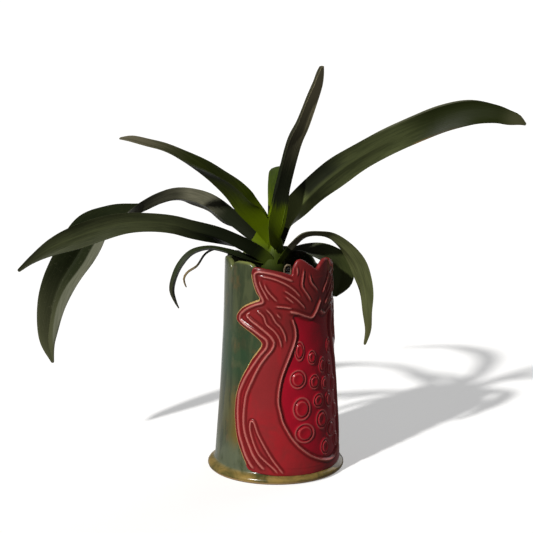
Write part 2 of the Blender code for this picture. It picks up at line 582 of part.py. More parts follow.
def build_bark():
    """Potting bark filling the vase, loose chips on top, with a plain hole for the stem."""
    rng = random.Random(7)
    rings = []
    for z, inset_r in ((FLOOR_TOP + GAP, 3.6), (12.3 * MM, GAP / MM), (60 * MM, GAP / MM),
                       (110 * MM, GAP / MM), (BARK_TOP - 2.5 * MM, GAP / MM), (BARK_TOP, 3.0)):
        r = outer_radius(z) - WALL - inset_r * MM
        rings.append([place(c * STEP, r, z) for c in range(COLUMNS)])
    bark = stack("potting_bark", rings)
    chips = []
    for i in range(22):
        ang = math.radians(i * 360 / 22.0 + rng.uniform(-7, 7))
        dist = rng.uniform(17, 28) * MM
        cx, cy = dist * math.sin(ang), -dist * math.cos(ang)
        size = (rng.uniform(4.0, 6.5) * MM, rng.uniform(2.6, 4.2) * MM, rng.uniform(1.6, 3.0) * MM)
        turn = rng.uniform(0, math.pi)
        tilt = rng.uniform(-0.35, 0.35)
        verts = []
        for sz in (-1, 1):
            for sx, sy in ((-1, -0.6), (-0.3, -1), (0.8, -0.8), (1, 0.5), (0.2, 1), (-0.9, 0.7)):
                k = 0.72 if sz > 0 else 1.0
                x, y, z = sx * size[0] * k, sy * size[1] * k, sz * size[2]
                z += x * tilt
                verts.append((cx + x * math.cos(turn) - y * math.sin(turn),
                              cy + x * math.sin(turn) + y * math.cos(turn), BARK_TOP + z))
        faces = [(5, 4, 3, 2, 1, 0), (6, 7, 8, 9, 10, 11)]
        faces += [(k, (k + 1) % 6, 6 + (k + 1) % 6, 6 + k) for k in range(6)]
        chips.append(make_object("chip", verts, faces))
    apply_boolean(bark, "UNION", chips)
    hole = stack("hole", [ellipse_ring(STEM_RX + GAP, STEM_RY + GAP, STEM_BOTTOM - GAP),
                          ellipse_ring(STEM_RX + GAP, STEM_RY + GAP, 170 * MM)])
    apply_boolean(bark, "DIFFERENCE", [hole])
    tidy(bark)
    bark.data.materials.clear()
    bark.data.materials.append(material("bark", (0.035, 0.022, 0.014), 0.65))
    return bark


build_vase()
build_relief()
build_bark()
leaf_mats = {
    "dark": material("leaf_dark", (0.045, 0.085, 0.025), 0.5),
    "fresh": material("leaf_fresh", (0.10, 0.17, 0.02), 0.5),
    "grey": material("leaf_grey", (0.10, 0.13, 0.06), 0.55),
    "withered": material("leaf_withered", (0.20, 0.17, 0.05), 0.6),
}
tones = {"leaf_b": "fresh", "leaf_e": "grey", "leaf_i": "grey", "leaf_h": "withered"}
stubs = []
for leaf_name in LEAVES:
    blade_obj, stub = build_leaf(leaf_name, leaf_mats[tones.get(leaf_name, "dark")])
    stubs.append(stub)
build_stem(stubs)
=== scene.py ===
import math
import random

import bmesh
import bpy
import numpy as np
from mathutils import Matrix, Vector, noise
from mathutils.geometry import delaunay_2d_cdt


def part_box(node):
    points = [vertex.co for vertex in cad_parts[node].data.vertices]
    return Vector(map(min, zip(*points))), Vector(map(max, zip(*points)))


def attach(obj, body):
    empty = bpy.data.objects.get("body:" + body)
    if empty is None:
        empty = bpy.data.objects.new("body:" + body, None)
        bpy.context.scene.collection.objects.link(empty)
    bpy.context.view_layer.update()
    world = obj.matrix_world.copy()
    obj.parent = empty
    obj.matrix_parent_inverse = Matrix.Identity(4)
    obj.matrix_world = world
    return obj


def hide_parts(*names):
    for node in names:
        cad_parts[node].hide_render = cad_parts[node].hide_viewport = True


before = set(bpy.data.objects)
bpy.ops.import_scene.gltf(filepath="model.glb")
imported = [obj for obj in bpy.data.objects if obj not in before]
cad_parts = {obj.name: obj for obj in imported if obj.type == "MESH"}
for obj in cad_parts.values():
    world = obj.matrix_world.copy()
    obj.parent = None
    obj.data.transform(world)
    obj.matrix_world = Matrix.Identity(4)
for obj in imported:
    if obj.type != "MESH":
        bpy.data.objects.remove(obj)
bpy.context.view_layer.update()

MM = 0.001
BODY = "root"

# Camera, as the photograph was taken.
PHOTO_SIZE = 533
FOCAL_PIXELS = 1497
CAMERA_PLACE = (-0.007, -1.099, 0.368)
CAMERA_PITCH = 11.03

# Vase. Angles run from the front (-Y) towards the right (+X), in degrees. Lengths are in mm.
vase_low, vase_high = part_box("vase_body")
FOOT_RADIUS = (vase_high.y - vase_low.y) / 2 / MM
WALL = 4.5
LEAN = 0.004  # sideways drift of the axis per unit of height
FLOOR_TOP = 8
PROFILE_Z = (8.5, 60, 110, 170)
PROFILE_R = (46.4, 42.7, 40.1, 38.6)
CAD_STEP = 7.5  # angle between two columns of the CAD wall
RIM_LOW = 151.5  # rim behind the raised crown
CROWN_SPAN = (-15.5, 98)  # angles between which it is that low
RIM_SET = {-22.5: 158.5, 105: 155, 112.5: 152, 120: 151.5, 127.5: 153, 135: 158.5}
RIM_LOBE = (156.5, 160.8, 162.6, 163, 161)
LOBE_FROM = -60  # angle at which a lobe of the rim starts
LOBE_LOW = 156
LOBE_RISE = 7
RIM_TURN = 142  # the rim's angles run on from here less a full turn
SHOULDER = 139  # height above which the wall's rings follow the rim
FOOT_INSET = 0.15  # clearance inside the CAD foot
LIP = 2.1  # height of the rounded lip
VASE_COLUMNS = 288

# Applied pomegranate.
AXIS = 41  # mirror line of the fruit
GAP = 0.3  # clearance to the wall
SLAB = 2.3
POCKET = 0.9  # depth of the opened seed chamber
TABLE = 0.8  # flat length of one degree in the tables below
DEG = 0.77  # flat length of one degree of the wall
CROWN_EXTRA = 1.6  # crown thickens inwards above the rim
RELIEF_STEP = 0.46  # distance between the relief's points
EDGE_ROUND = 1.35  # width of the slab's rounded edge
REACH = 6  # how far a raised line makes itself felt
STRETCH = 12  # path segments tested together
SEED_REACH = 1.6  # how far a seed's loops of points go, in its half sizes

BARK_TOP = 147
STEM_X = -2
LEAF_STEP = 2.4  # distance between two sections of a blade
LEAF_COLUMNS = 9  # points on each half of a blade's face
KEEL_THICK = 1.7
MARGIN_THICK = 0.85
MARGIN_FROM = 0.86  # share of the half width past which the margin is rounded
SHEATH_STEP = 1.6  # distance between two sections of a sheath

# Outline of the pomegranate, (angle, height in mm), from the left foot up and over.
LEFT_SIDE = [
    (-23.9, 9), (-28.1, 14.6), (-32.3, 21), (-36, 27.4), (-38.8, 34.6), (-40.7, 41.7), (-42, 49.6),
    (-42.1, 56.5), (-41.6, 62), (-40.2, 67.4), (-37.9, 73.1), (-34.6, 78.9), (-30, 85.3), (-24.4, 93.1),
    (-18.8, 98.9), (-15.1, 103.9), (-16.9, 106), (-23.4, 109.9), (-30, 112.8), (-40.2, 117.1),
    (-43.6, 119.6), (-44, 123.2), (-40.8, 127.1), (-36.2, 130.4), (-29.7, 133.2), (-22.2, 135.7),
    (-18, 137.3), (-21.4, 141.4), (-24.4, 147.1), (-26.4, 153), (-26, 157.8), (-23.8, 160.2)]
CROWN_TOP = [
    (-19.4, 160.4), (-10.1, 159.4), (0.1, 158), (7.5, 156.8), (12.2, 155.6), (14.6, 155.2), (15.4, 158.6),
    (17.3, 162.4), (20.2, 165.4), (23.3, 166.2), (27.1, 165.5), (31.7, 163.4), (37.3, 160.6),
    (44.6, 157.6), (49.5, 160.8), (55, 163.2), (61.5, 163.9), (66.5, 162.2), (70, 158.8), (72.6, 155.6),
    (78.5, 156.8), (85, 158), (93, 159), (101, 158.6)]

# Raised lines: two run beside the outline, the others stroke the sepals.
EDGE_LINE = [
    (-18.4, 10.2), (-22.5, 14.6), (-27.2, 21), (-30.4, 27.4), (-33.7, 34.6), (-35.5, 41.7), (-36.7, 49.6),
    (-36.9, 56.7), (-36, 66), (-33.2, 71.7), (-30, 77.4), (-25.3, 83.9), (-20.7, 89.6), (-15.1, 96),
    (-9.2, 102.4), (-9.5, 107), (-16, 110.8), (-23.4, 114.4), (-32.7, 118.1), (-38, 121.2), (-37.2, 124.5),
    (-33.4, 127.3), (-28.7, 130), (-21.3, 132.8), (-13.2, 135.4), (-16.2, 140.7), (-19.4, 145.7),
    (-21.5, 150.7), (-22, 155.6), (-18.6, 157.2), (-10.1, 156.8), (0.1, 155.2), (8.5, 152.8),
    (16.5, 150.2)]
INNER_LINE = [
    (-9, 10.2), (-14.1, 14.6), (-19.7, 21), (-23.4, 27.4), (-27.2, 34.6), (-29.5, 41.7), (-30.2, 49.6),
    (-29.8, 56.7), (-28.4, 64.6), (-26, 70.3), (-23, 76), (-19.7, 82), (-15.1, 88.9), (-9.5, 95.3),
    (-4.2, 100.6), (-2.4, 105.3), (-5, 109.4), (-11, 113.6), (-18, 117.6), (-26.5, 122), (-29.5, 124.9),
    (-26, 127)]
STROKES = [
    [(-20.4, 129.2), (-13, 125.2), (-9.5, 118.9), (-3.9, 115.3), (0.7, 111.2), (3.6, 106),
     (4.6, 100.5)],
    [(-11.5, 130.8), (-5.5, 126.6), (-1, 120.8), (4, 116.6), (7.8, 110.4), (8.8, 104.6)],
    [(-1.6, 128.2), (1.4, 125.6), (5.2, 122.4)],
    [(-17.4, 152.2), (-16.2, 148), (-12.2, 142.4), (-9.2, 138.6), (-6.4, 135.6)],
    [(-16.4, 154.2), (-8.3, 153.4), (0.1, 151.6), (9.4, 148.2), (16.8, 144), (24.3, 137.6)],
    [(-12.6, 149.8), (-11, 146), (-7.6, 142.3), (-2.8, 138.4), (1.8, 134.9)],
    [(5.7, 144.8), (12.2, 141.3), (18.7, 137.4), (25.2, 132.4), (29.4, 128.6)],
    [(6.6, 140.6), (12.6, 136.9), (17.8, 133.4)],
    [(-2.6, 132.4), (7.5, 131.6), (16.5, 130.2)]]
FRONT_STROKES = [
    [(2.4, 7), (-1.2, 11.2), (-7.4, 16), (-14.6, 21.9), (-21.4, 34), (-23.6, 43),
     (-22.4, 46.4), (-20.4, 46), (-16, 37.4), (-10.4, 28.9), (-3.9, 19.6), (3.2, 11.2)],
    [(27.3, 159.6), (25.6, 152.1), (25.3, 146.4), (28, 142.8), (31.7, 138.8), (36, 133.6)],
    [(19.4, 162.4), (20.2, 156.6), (19.4, 153.2)],
    [(33.4, 155.4), (35.4, 148.6), (41.2, 143.6), (45, 140.4)],
    [(50.2, 137.6), (54, 142.4), (58.6, 147), (62, 151.5), (63.6, 156)]]
CROWN_EDGE = [
    (11.5, 128.6), (20.5, 126.4), (29.8, 123.4), (36, 122.2), (40.5, 125.4), (44.6, 130.6), (48.6, 135.4)]
CROWN_EDGE_RIGHT = [(45.5, 127.4), (52, 123.6), (61.5, 126.4), (70.5, 128.6)]
CHAMBER = [
    (14.6, 123.6), (16.4, 119.6), (18, 115.3), (18.4, 109.6), (16.6, 103.9), (13.8, 98.1), (10.5, 91.7),
    (7.3, 85.3), (4.9, 79.6), (3.1, 73.1), (2.1, 66.7), (2.1, 60.3), (4, 53.1), (5.9, 46.7), (9.6, 40.3),
    (14.7, 33.1), (20.3, 27.4), (27.7, 21.7), (35.2, 17.4), (44.5, 13.9), (54.5, 12.3), (64, 13.6),
    (72.6, 19), (79, 30), (82, 45), (82, 62), (79, 78), (73, 92), (68, 104), (66.4, 112), (67.6, 119),
    (68.6, 124)]
CHAMBER_TOP = CROWN_EDGE_RIGHT[2::-1] + [(41, 125.6)] + CROWN_EDGE[3:0:-1]

# Seeds: angle, height in mm, half width in degrees, half height in mm.
SEEDS = [
    (22.1, 98.5, 3.6, 5.5), (35.6, 92.6, 3.6, 4), (49.1, 85, 3.6, 4.4), (20.3, 77.6, 6, 5.2),
    (38, 74, 4.4, 4.2), (51.5, 71, 3.4, 3.4), (23.7, 55.3, 6.5, 6.4), (42.6, 59.2, 4.8, 4),
    (58, 57.5, 4.4, 4.6), (45.9, 44.4, 5.5, 5.4), (26.2, 36.8, 7.2, 5.4), (59.5, 34.8, 5.6, 4.8),
    (48.8, 23.2, 4.4, 4.5), (60.5, 80.5, 3.6, 4.2), (61, 98, 3.2, 4.4), (70.5, 67.5, 4, 4.6),
    (72, 47, 4.6, 5), (69, 24.8, 4.2, 4)]

# Height of a seed and its ring over the chamber, by the distance from its middle in half sizes.
SEED_RHO = (0, 0.25, 0.46, 0.66, 0.84, 0.94, 1.04, 1.14, 1.27, 1.38, 1.52, 1.7)
SEED_HEIGHT = (0.62, 0.68, 0.88, 1.12, 1.08, 0.72, 0.18, 0.38, 0.72, 0.5, 0.08, 0)

# Each leaf by its letter: -1 on the left or 1 on the right, length of its sheath in mm, stations from
# the stem out. A station is the keel's x, y, z and the full width in mm, roll and fold in degrees.
# A positive roll turns the upper face to the front.
LEAVES = {
    "a": (1, 25, [
        (0.5, -6, 168, 14, 4, 35), (3, -8.5, 176, 23, 5, 48), (6.2, -10, 186, 30, 5, 60),
        (8.5, -9.5, 198, 28, 5, 62), (10.5, -8, 214, 24, 6, 60), (18, -9, 244, 24, 6, 60),
        (24, -10, 259, 22, 6, 58), (30, -11, 277, 20, 5, 55), (33.5, -12, 289, 17.5, 5, 50),
        (34.5, -12, 297, 14.5, 5, 45), (34.5, -13, 302, 9, 5, 40)]),
    "b": (1, 20, [
        (-1, 3, 168, 9, -5, 32), (-0.5, 12, 184, 12, -8, 32), (1, 25, 199, 15, -12, 32),
        (2.5, 41, 211, 17, -24, 30), (4, 60, 218.5, 18, -38, 28), (5, 84, 217, 18, -38, 28),
        (5, 111, 206, 18, -25, 28), (4, 137, 193, 16.5, -20, 30), (2.5, 161, 177, 14, -15, 30),
        (0, 183, 158, 9, -10, 30), (-2, 201, 141, 3, -10, 30)]),
    "c": (1, 26, [
        (0, 1, 158, 18, -15, 45), (6, 3, 170, 27, -25, 45), (13, 4, 188, 28, -50, 32),
        (23, 4, 204, 23.2, -68, 16), (42, 1, 222, 23.6, -75, 6), (60, -2, 235, 21.6, -76, 2),
        (81, -4, 247.3, 20.4, -80, -2), (104, -6, 258.2, 20.2, -90, -8), (123, -8, 265.6, 20.2, -100, -12),
        (141, -10, 269.4, 19.2, -106, -14), (158, -12, 268.6, 14.4, -110, -14),
        (168, -13, 266.2, 11.7, -112, -14), (175, -14, 264.6, 8.5, -112, -14),
        (180, -14, 262, 2.5, -112, -14)]),
    "d": (-1, 24, [
        (-1, 0, 163, 18, 0, 48), (-9, 0, 173.5, 27, 0, 54), (-18, -3, 184, 35, 3, 57),
        (-28.5, -8, 195.5, 39.5, 4, 57), (-37, -13, 208, 35, 6, 52), (-46.4, -16, 218.2, 28.6, 10, 48),
        (-56, -19, 226.8, 23.1, 18, 44), (-68.6, -21, 236, 16.1, 30, 42), (-81, -23, 243.4, 11.7, 38, 40),
        (-93.4, -24, 247.6, 9.7, 42, 38), (-104, -24, 250.7, 7.8, 44, 36),
        (-111.6, -24, 251.8, 3, 44, 36)]),
    "e": (-1, 26, [
        (-3, 4, 152, 18, -10, 45), (-12, 8, 165, 23, -20, 46), (-25, 15, 175, 24.5, -32, 42),
        (-39.5, 28, 184, 24.5, -46, 36), (-55.5, 45, 193, 22, -58, 30), (-74, 62, 195.4, 18.8, -58, 28),
        (-89.4, 74, 190.5, 19.5, -40, 32), (-109, 80, 181, 21.8, 0, 40), (-129, 78, 176, 26.5, 35, 32),
        (-145, 72, 165.6, 37, 66, 32), (-156.5, 63, 149, 37.5, 76, 34), (-168, 53, 130, 33, 80, 34),
        (-174, 43, 110, 26.5, 80, 34), (-176.5, 36, 89.4, 16.5, 80, 32), (-173.5, 32, 72.5, 3, 80, 32)]),
    "f": (-1, 20, [
        (-3, -2, 152, 14, -20, 45), (-12, -5, 159, 20, -30, 42), (-26, -10, 168, 21, -45, 36),
        (-43, -13, 177.6, 17, -62, 22), (-61, -15, 183.6, 15.4, -74, 8), (-75, -18, 188.6, 14, -84, -6),
        (-92, -21, 190.8, 14, -90, -14), (-110, -24, 190.6, 15.8, -92, -16),
        (-129, -27, 186.4, 18, -92, -16), (-146, -30, 181, 17.6, -90, -14),
        (-162, -32, 174.4, 12.6, -88, -12), (-176, -34, 166, 6.2, -86, -10),
        (-186, -35, 158, 2.5, -86, -10)]),
    "g": (-1, 15, [
        (-3, 0, 152, 9, 10, 45), (-14, -1, 155.5, 10, 15, 45), (-26, -3, 160, 9.5, 18, 42),
        (-39, -6, 165.6, 8, 15, 40), (-50, -9, 168, 7.5, 12, 40), (-61, -12, 165, 9.5, 16, 40),
        (-68.5, -14, 157, 10.5, 20, 40), (-73, -15, 148, 10, 22, 40), (-75, -16, 139, 9, 22, 40),
        (-73.5, -16, 131, 5, 22, 40), (-72, -16.5, 127, 2.5, 22, 40)]),
    "h": (-1, 15, [
        (-3, 4, 152, 6, 10, 30), (-14, 7, 156.5, 6, 10, 30), (-27, 10, 161, 5, 10, 30),
        (-38, 11, 164, 4.5, 10, 30), (-46, 12, 164, 4.2, 10, 30), (-53, 13, 160, 4.2, 10, 30),
        (-59, 14, 151, 4.2, 10, 30), (-66, 15, 146, 4.2, 10, 30), (-69, 16, 141, 4.2, 10, 30),
        (-68, 16, 136, 3, 10, 30)]),
    "i": (1, 18, [
        (1, -3, 153, 9, -5, 45), (7, -5, 160, 12, -5, 45), (14, -5, 169, 13, -8, 42),
        (22.3, -2, 176, 12.5, -8, 38), (32.7, 2, 176.5, 11.2, -14, 34), (41.2, 6, 173.2, 12.8, -35, 30),
        (51.7, 8, 165, 14.4, -52, 26), (60, 9, 154.3, 15.9, -60, 24), (64.4, 9, 143.5, 15.5, -62, 24),
        (67.6, 9, 130.6, 13, -62, 24), (68.7, 9, 117, 8.9, -62, 24), (69.8, 9, 103.2, 5.8, -62, 24),
        (67.8, 9, 92.6, 2.6, -62, 24)]),
    "j": (1, 18, [
        (0, 3, 152, 10, -5, 45), (7, 6, 156, 14, -5, 45), (16, 10, 160, 16, 5, 40),
        (25, 13, 160.5, 18, 30, 32), (34, 16, 159, 20, 45, 26), (41, 20, 155, 22, 58, 22),
        (46, 24, 150.5, 23, 68, 18), (48.5, 27, 144.5, 23.5, 75, 16), (49, 29, 137.5, 21, 80, 14),
        (47.5, 31, 131, 14, 80, 14), (45.5, 32, 125.5, 5, 80, 14)]),
}
MARGIN_TOWARDS = {"b": Vector((1, 0, 0))}  # that leaf arches straight back


def clamp01(x):
    return np.clip(x, 0, 1)


def ease(x, low, high):
    """Smooth step from 0 at low to 1 at high."""
    t = clamp01((x - low) / (high - low))
    return t * t * (3 - 2 * t)


def turned_outwards(verts, faces):
    """Faces with their winding made even and outward, as one closed mesh."""
    bm = bmesh.new()
    made = [bm.verts.new(v) for v in verts]
    bm.verts.index_update()
    for f in faces:
        bm.faces.new([made[i] for i in f])
    bmesh.ops.recalc_face_normals(bm, faces=bm.faces)
    result = [tuple(v.index for v in f.verts) for f in bm.faces]
    bm.free()
    return result


def show(name, data):
    """New object with this mesh, light or camera, in the scene."""
    obj = bpy.data.objects.new(name, data)
    bpy.context.scene.collection.objects.link(obj)
    return obj


def add_piece(name, verts, faces, material, slot, node, attributes, crease=None):
    """Smooth mesh piece on the root body that stands for a CAD node. Vertices are in mm.

    A crease, in degrees, keeps sharper edges, and turns the faces of a piece laid in parts outwards."""
    if crease:
        faces = turned_outwards(verts, faces)
    mesh = bpy.data.meshes.new(name)
    mesh.from_pydata((np.asarray(verts, float) * MM).tolist(), [], faces)
    mesh.shade_smooth()
    for key, values in attributes.items():
        layer = mesh.attributes.new(key, "FLOAT_VECTOR", "POINT")
        layer.data.foreach_set("vector", np.asarray(values, np.float32).ravel())
    mesh.materials.append(material)
    obj = show(name, mesh)
    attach(obj, BODY)
    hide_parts(node)
    if crease:
        mesh.set_sharp_from_angle(angle=math.radians(crease))


def grid_faces(rows, n):
    """Quads between rows of n points, each row joined to a loop."""
    faces = []
    for row in range(0, (rows - 1) * n, n):
        for c in range(n):
            after = (c + 1) % n
            faces.append((row + c, row + after, row + n + after, row + n + c))
    return faces


def capped_tube(rows, n):
    """The same, with a flat cap on both ends."""
    last = (rows - 1) * n
    return grid_faces(rows, n) + [tuple(reversed(range(n))), tuple(range(last, last + n))]


def joined(parts):
    """One mesh of several parts. A part is its points, its faces and a mark on each point."""
    verts, faces, marks = [], [], []
    for more, more_faces, more_marks in parts:
        faces += [tuple(len(verts) + i for i in f) for f in more_faces]
        verts += more
        marks += more_marks
    return verts, faces, marks


def outer_radius(z):
    """Radius of the wall's outside at a height."""
    return np.interp(z, PROFILE_Z, PROFILE_R)


def place(deg, r, z):
    """Points of the vase's wall in mm, from angle, radius and height."""
    th = np.radians(deg)
    return np.stack([r * np.sin(th) + LEAN * z, -r * np.cos(th), z + 0 * th], -1)


def rim_at_column(d):
    """Height of the CAD rim at one of its columns."""
    if d >= RIM_TURN:
        d -= 360
    if CROWN_SPAN[0] < d < CROWN_SPAN[1]:
        return RIM_LOW
    if d in RIM_SET:
        return RIM_SET[d]
    return RIM_LOBE[round((d - LOBE_FROM) / CAD_STEP) % len(RIM_LOBE)]


def rim_height(deg):
    """Scalloped rim. Each lobe is rounded, and the notches between them stay sharp."""
    columns = np.arange(-180, 180.1, CAD_STEP)
    level = np.interp(deg, columns, [rim_at_column(d if d < 180 else -180) for d in columns])
    turned = np.where(deg >= RIM_TURN, deg - 360, deg)
    u = (turned - LOBE_FROM) / (len(RIM_LOBE) * CAD_STEP) % 1
    lobe = LOBE_LOW + LOBE_RISE * np.sqrt(np.clip(1 - np.abs(2 * u - 1) ** 3, 0, 1))
    plain = ease(turned, -24, -27) * ease(turned, -224, -218)
    return level + (lobe - level) * plain


def build_vase():
    """Skin of the vase in rings: up the outside, over the lip and down the inside to the floor."""
    deg = -180 + 360 / VASE_COLUMNS * np.arange(VASE_COLUMNS)
    top = rim_height(deg)
    wave = 0.12 * (np.sin(np.radians(3 * deg + 40)) + np.sin(np.radians(7 * deg)) - 2)
    # How pale the lip is: somewhat pale all round, and palest at the front left, where the extra paleness
    # is painted light from the key light.
    pale = 0.3 + 0.7 * np.exp(-((deg + 34) / 24) ** 2)
    patch = np.exp(-((deg + 40) / 10) ** 2)
    rows, marks = [], []

    def ring(r, z, inside=0, lip=0):
        rows.append(place(deg, r, z + 0 * deg))
        marks.append(np.stack([0 * deg + inside, lip * pale, patch], -1))

    ring(0, 0)
    for cut, z in ((3, 0), (1.4, 0.3), (0.5, 1.1), (0, 2.3), (0.1, 3.4), (0.8, 4.4), (2, 5.1),
                   (3.5, 5.7), (4.7, 6.5), (5.3, 7.6)):
        ring(FOOT_RADIUS - FOOT_INSET - cut + (wave if cut > 2.5 else 0), z)
    for z in np.arange(9.5, SHOULDER, 3):
        ring(outer_radius(z) + wave * ease(z, 8, 20), z)
    start = SHOULDER + 0.5
    for k in np.linspace(0, 1, 8):
        z = start + (top - 2.2 - start) * k
        ring(outer_radius(z) + wave, z)
    for a in np.linspace(0, math.pi, 13):
        r = outer_radius(top) - WALL / 2 + (WALL / 2) * math.cos(a)
        ring(r + wave, top - LIP + LIP * math.sin(a), 1 if a > 2.4 else 0, math.sin(a) ** 1.5)
    for k in np.linspace(0.15, 1, 7):
        z = top - LIP + (SHOULDER - top + LIP) * k
        ring(outer_radius(z) - WALL + wave, z, 1)
    for z in (110, 60, 12):
        ring(outer_radius(z) - WALL, z, 1)
    ring(outer_radius(9) - WALL - 3, FLOOR_TOP, 1)
    ring(0, FLOOR_TOP, 1)

    # The first and the last ring are one point each.
    n = VASE_COLUMNS
    last = (len(rows) - 1) * n
    faces = grid_faces(len(rows), n)[n:-n]
    faces += [(0, n + (c + 1) % n, n + c) for c in range(n)]
    faces += [(last, last - n + c, last - n + (c + 1) % n) for c in range(n)]
    faces = [tuple(max(0, i - n + 1) for i in f) for f in faces]
    kept = np.r_[0, n:last + 1]
    add_piece("vase", np.concatenate(rows)[kept], faces, glaze_green(), "green_glaze", "vase_body",
              {"shell": np.concatenate(marks)[kept]})


def lengths(points):
    """Length along a line of points up to each of them."""
    return np.concatenate([[0], np.cumsum(np.linalg.norm(np.diff(points, axis=0), axis=1))])


def curve(pts, steps, power):
    """Points on a smooth curve through all but the first and last point, a number of steps apart.

    A power of 0.5 keeps it close where the points lie at uneven distances, and 0 is the plain form."""
    fine = []
    for p0, p1, p2, p3 in zip(pts, pts[1:], pts[2:], pts[3:]):
        t1 = math.dist(p0, p1) ** power
        t2 = t1 + math.dist(p1, p2) ** power
        t3 = t2 + math.dist(p2, p3) ** power
        for t in np.linspace(t1, t2, steps, endpoint=False):
            a1 = p0 + (p1 - p0) * t / t1
            a2 = p1 + (p2 - p1) * (t - t1) / (t2 - t1)
            a3 = p2 + (p3 - p2) * (t - t2) / (t3 - t2)
            b1 = a1 + (a2 - a1) * t / t2
            b2 = a2 + (a3 - a2) * (t - t1) / (t3 - t1)
            fine.append(b1 + (b2 - b1) * (t - t1) / (t2 - t1))
    return np.array(fine + [pts[-2]])


def smooth_path(points, step, closed=False):
    """Smooth line through flat points, cut into even steps."""
    pts = np.array(points, float)
    if closed:
        pts = np.vstack([pts[-1], pts, pts[0], pts[1]])
    else:
        pts = np.vstack([2 * pts[0] - pts[1], pts, 2 * pts[-1] - pts[-2]])
    fine = curve(pts, 16, 0.5)
    along = lengths(fine)
    count = max(2, round(along[-1] / step))
    s = np.linspace(0, along[-1], count + 1)
    if closed:
        s = s[:-1]
    return np.stack([np.interp(s, along, column) for column in fine.T], -1)


def flat(path):
    """Table points laid out flat, in mm."""
    return [(d * TABLE, z) for d, z in path]


def mirrored(path):
    """Table points on the other side of the fruit's mirror line."""
    return [(2 * AXIS - d, z) for d, z in path]


def distance_along(points, path):
    """Distance of every point to a path, and the path length up to the nearest spot.

    Points further than REACH count as endlessly far, so each stretch only tests those near it."""
    best = np.full(len(points), 1e9)
    spot = np.zeros(len(points))
    run = 0
    for first in range(0, len(path) - 1, STRETCH):
        piece = path[first:first + STRETCH + 1]
        near = ((points > piece.min(0) - REACH) & (points < piece.max(0) + REACH)).all(1).nonzero()[0]
        close = points[near]
        for a, b in zip(piece, piece[1:]):
            ab = b - a
            size = math.hypot(*ab)
            if len(near):
                t = clamp01(((close - a) @ ab) / (size * size))
                d = np.linalg.norm(close - a - t[:, None] * ab, axis=1)
                nearer = d < best[near]
                best[near[nearer]] = d[nearer]
                spot[near[nearer]] = run + t[nearer] * size
            run += size
    return best, spot, run


def edge_distance(points, ring):
    """Distance of every point to a closed line."""
    return distance_along(points, np.vstack([ring, ring[:1]]))[0]


def inside(points, ring):
    """Which points lie inside a closed line."""
    result = np.zeros(len(points), bool)
    x, y = points[:, 0], points[:, 1]
    for a, b in zip(ring, np.vstack([ring[1:], ring[:1]])):
        crosses = (a[1] > y) != (b[1] > y)
        with np.errstate(divide="ignore", invalid="ignore"):
            hit = x < (b[0] - a[0]) * (y - a[1]) / (b[1] - a[1]) + a[0]
        result ^= crosses & hit
    return result


def ridge_field(points, path, width, height, taper, ridge, groove):
    """Raises ridge by a rounded bead along the path, and groove by the furrows beside it.

    A path that ends low on the vase runs on over the slab's edge."""
    if path[-1][1] < 15:
        (d0, z0), (d1, z1) = path[-2:]
        run = 6 / math.dist((d0, z0), (d1, z1))
        path = list(path) + [(d1 + (d1 - d0) * run, z1 + (z1 - z0) * run)]
    dist, spot, total = distance_along(points, smooth_path(flat(path), 1))
    strength = ease(np.minimum(spot, total - spot), -0.5, taper)
    soft = 0.42 * width
    bead = height * strength * np.exp(-(dist / soft) ** 2)
    furrow = strength * np.exp(-((dist - 0.95 * width) / soft) ** 2)
    return np.maximum(ridge, bead), np.maximum(groove, furrow)


def seed_distance(p, seed):
    """Distance from a seed's middle, counted in its own half sizes."""
    d, z, rx, ry = seed
    return np.hypot((p[:, 0] - d * TABLE) / (rx * TABLE), (p[:, 1] - z) / ry)


def seed_loops(net):
    """Points in loops round each seed, so that its ring is smooth, and the net without those spots."""
    loops = []
    for k, seed in enumerate(SEEDS):
        d, z, rx, ry = seed
        for rho in SEED_RHO[1:-1]:
            count = max(8, round(math.pi * rho * (rx * TABLE + ry) / RELIEF_STEP))
            a = np.linspace(0, 2 * math.pi, count, endpoint=False) + rho
            loop = np.stack([(d + rx * rho * np.cos(a)) * TABLE, z + ry * rho * np.sin(a)], -1)
            for other in SEEDS[:k]:
                loop = loop[seed_distance(loop, other) > SEED_REACH]
            loops.append(loop)
        net = net[seed_distance(net, seed) > SEED_REACH]
    return np.concatenate(loops), net


def relief_height(p):
    """Height over the wall of every flat point, and its paint marks."""
    ridge, groove, seeds, domes, rings = np.zeros((5, len(p)))
    for paths, width, height, taper in (
            ((EDGE_LINE, mirrored(EDGE_LINE), INNER_LINE, mirrored(INNER_LINE)), 2.1, 0.95, 3),
            (STROKES + [mirrored(s) for s in STROKES] + FRONT_STROKES, 1.7, 0.8, 4),
            ((CROWN_EDGE, CROWN_EDGE_RIGHT), 2.4, 1, 3), ((CHAMBER,), 2, 1, 3)):
        for path in paths:
            ridge, groove = ridge_field(p, path, width, height, taper, ridge, groove)

    rim = smooth_path(flat(CHAMBER + CHAMBER_TOP), 1, True)
    dist = edge_distance(p, rim) * np.where(inside(p, rim), 1, -1)
    chamber = ease(dist, -0.3, 1.6)

    for seed in SEEDS:
        rho = seed_distance(p, seed)
        seeds = np.maximum(seeds, np.interp(rho, SEED_RHO, SEED_HEIGHT))
        domes = np.maximum(domes, ease(rho, 0.98, 0.7))
        rings = np.maximum(rings, np.exp(-((rho - 1.27) / 0.13) ** 2))
        rings = np.maximum(rings, 0.8 * np.exp(-((rho - 0.8) / 0.12) ** 2))
        groove = np.maximum(groove, 0.6 * ease(rho, 0.9, 1.03) * ease(rho, 1.17, 1.05))
    ripple = 0.07 * (np.sin(p[:, 0] * 0.31 + 0.12 * p[:, 1]) + np.sin(p[:, 1] * 0.23 - 0.2 * p[:, 0]))
    height = SLAB - POCKET * chamber + ripple + np.maximum(ridge, seeds) - 0.3 * groove
    marks = np.stack([clamp01(ridge + 0.85 * rings), groove, chamber], -1)
    return height, marks, domes


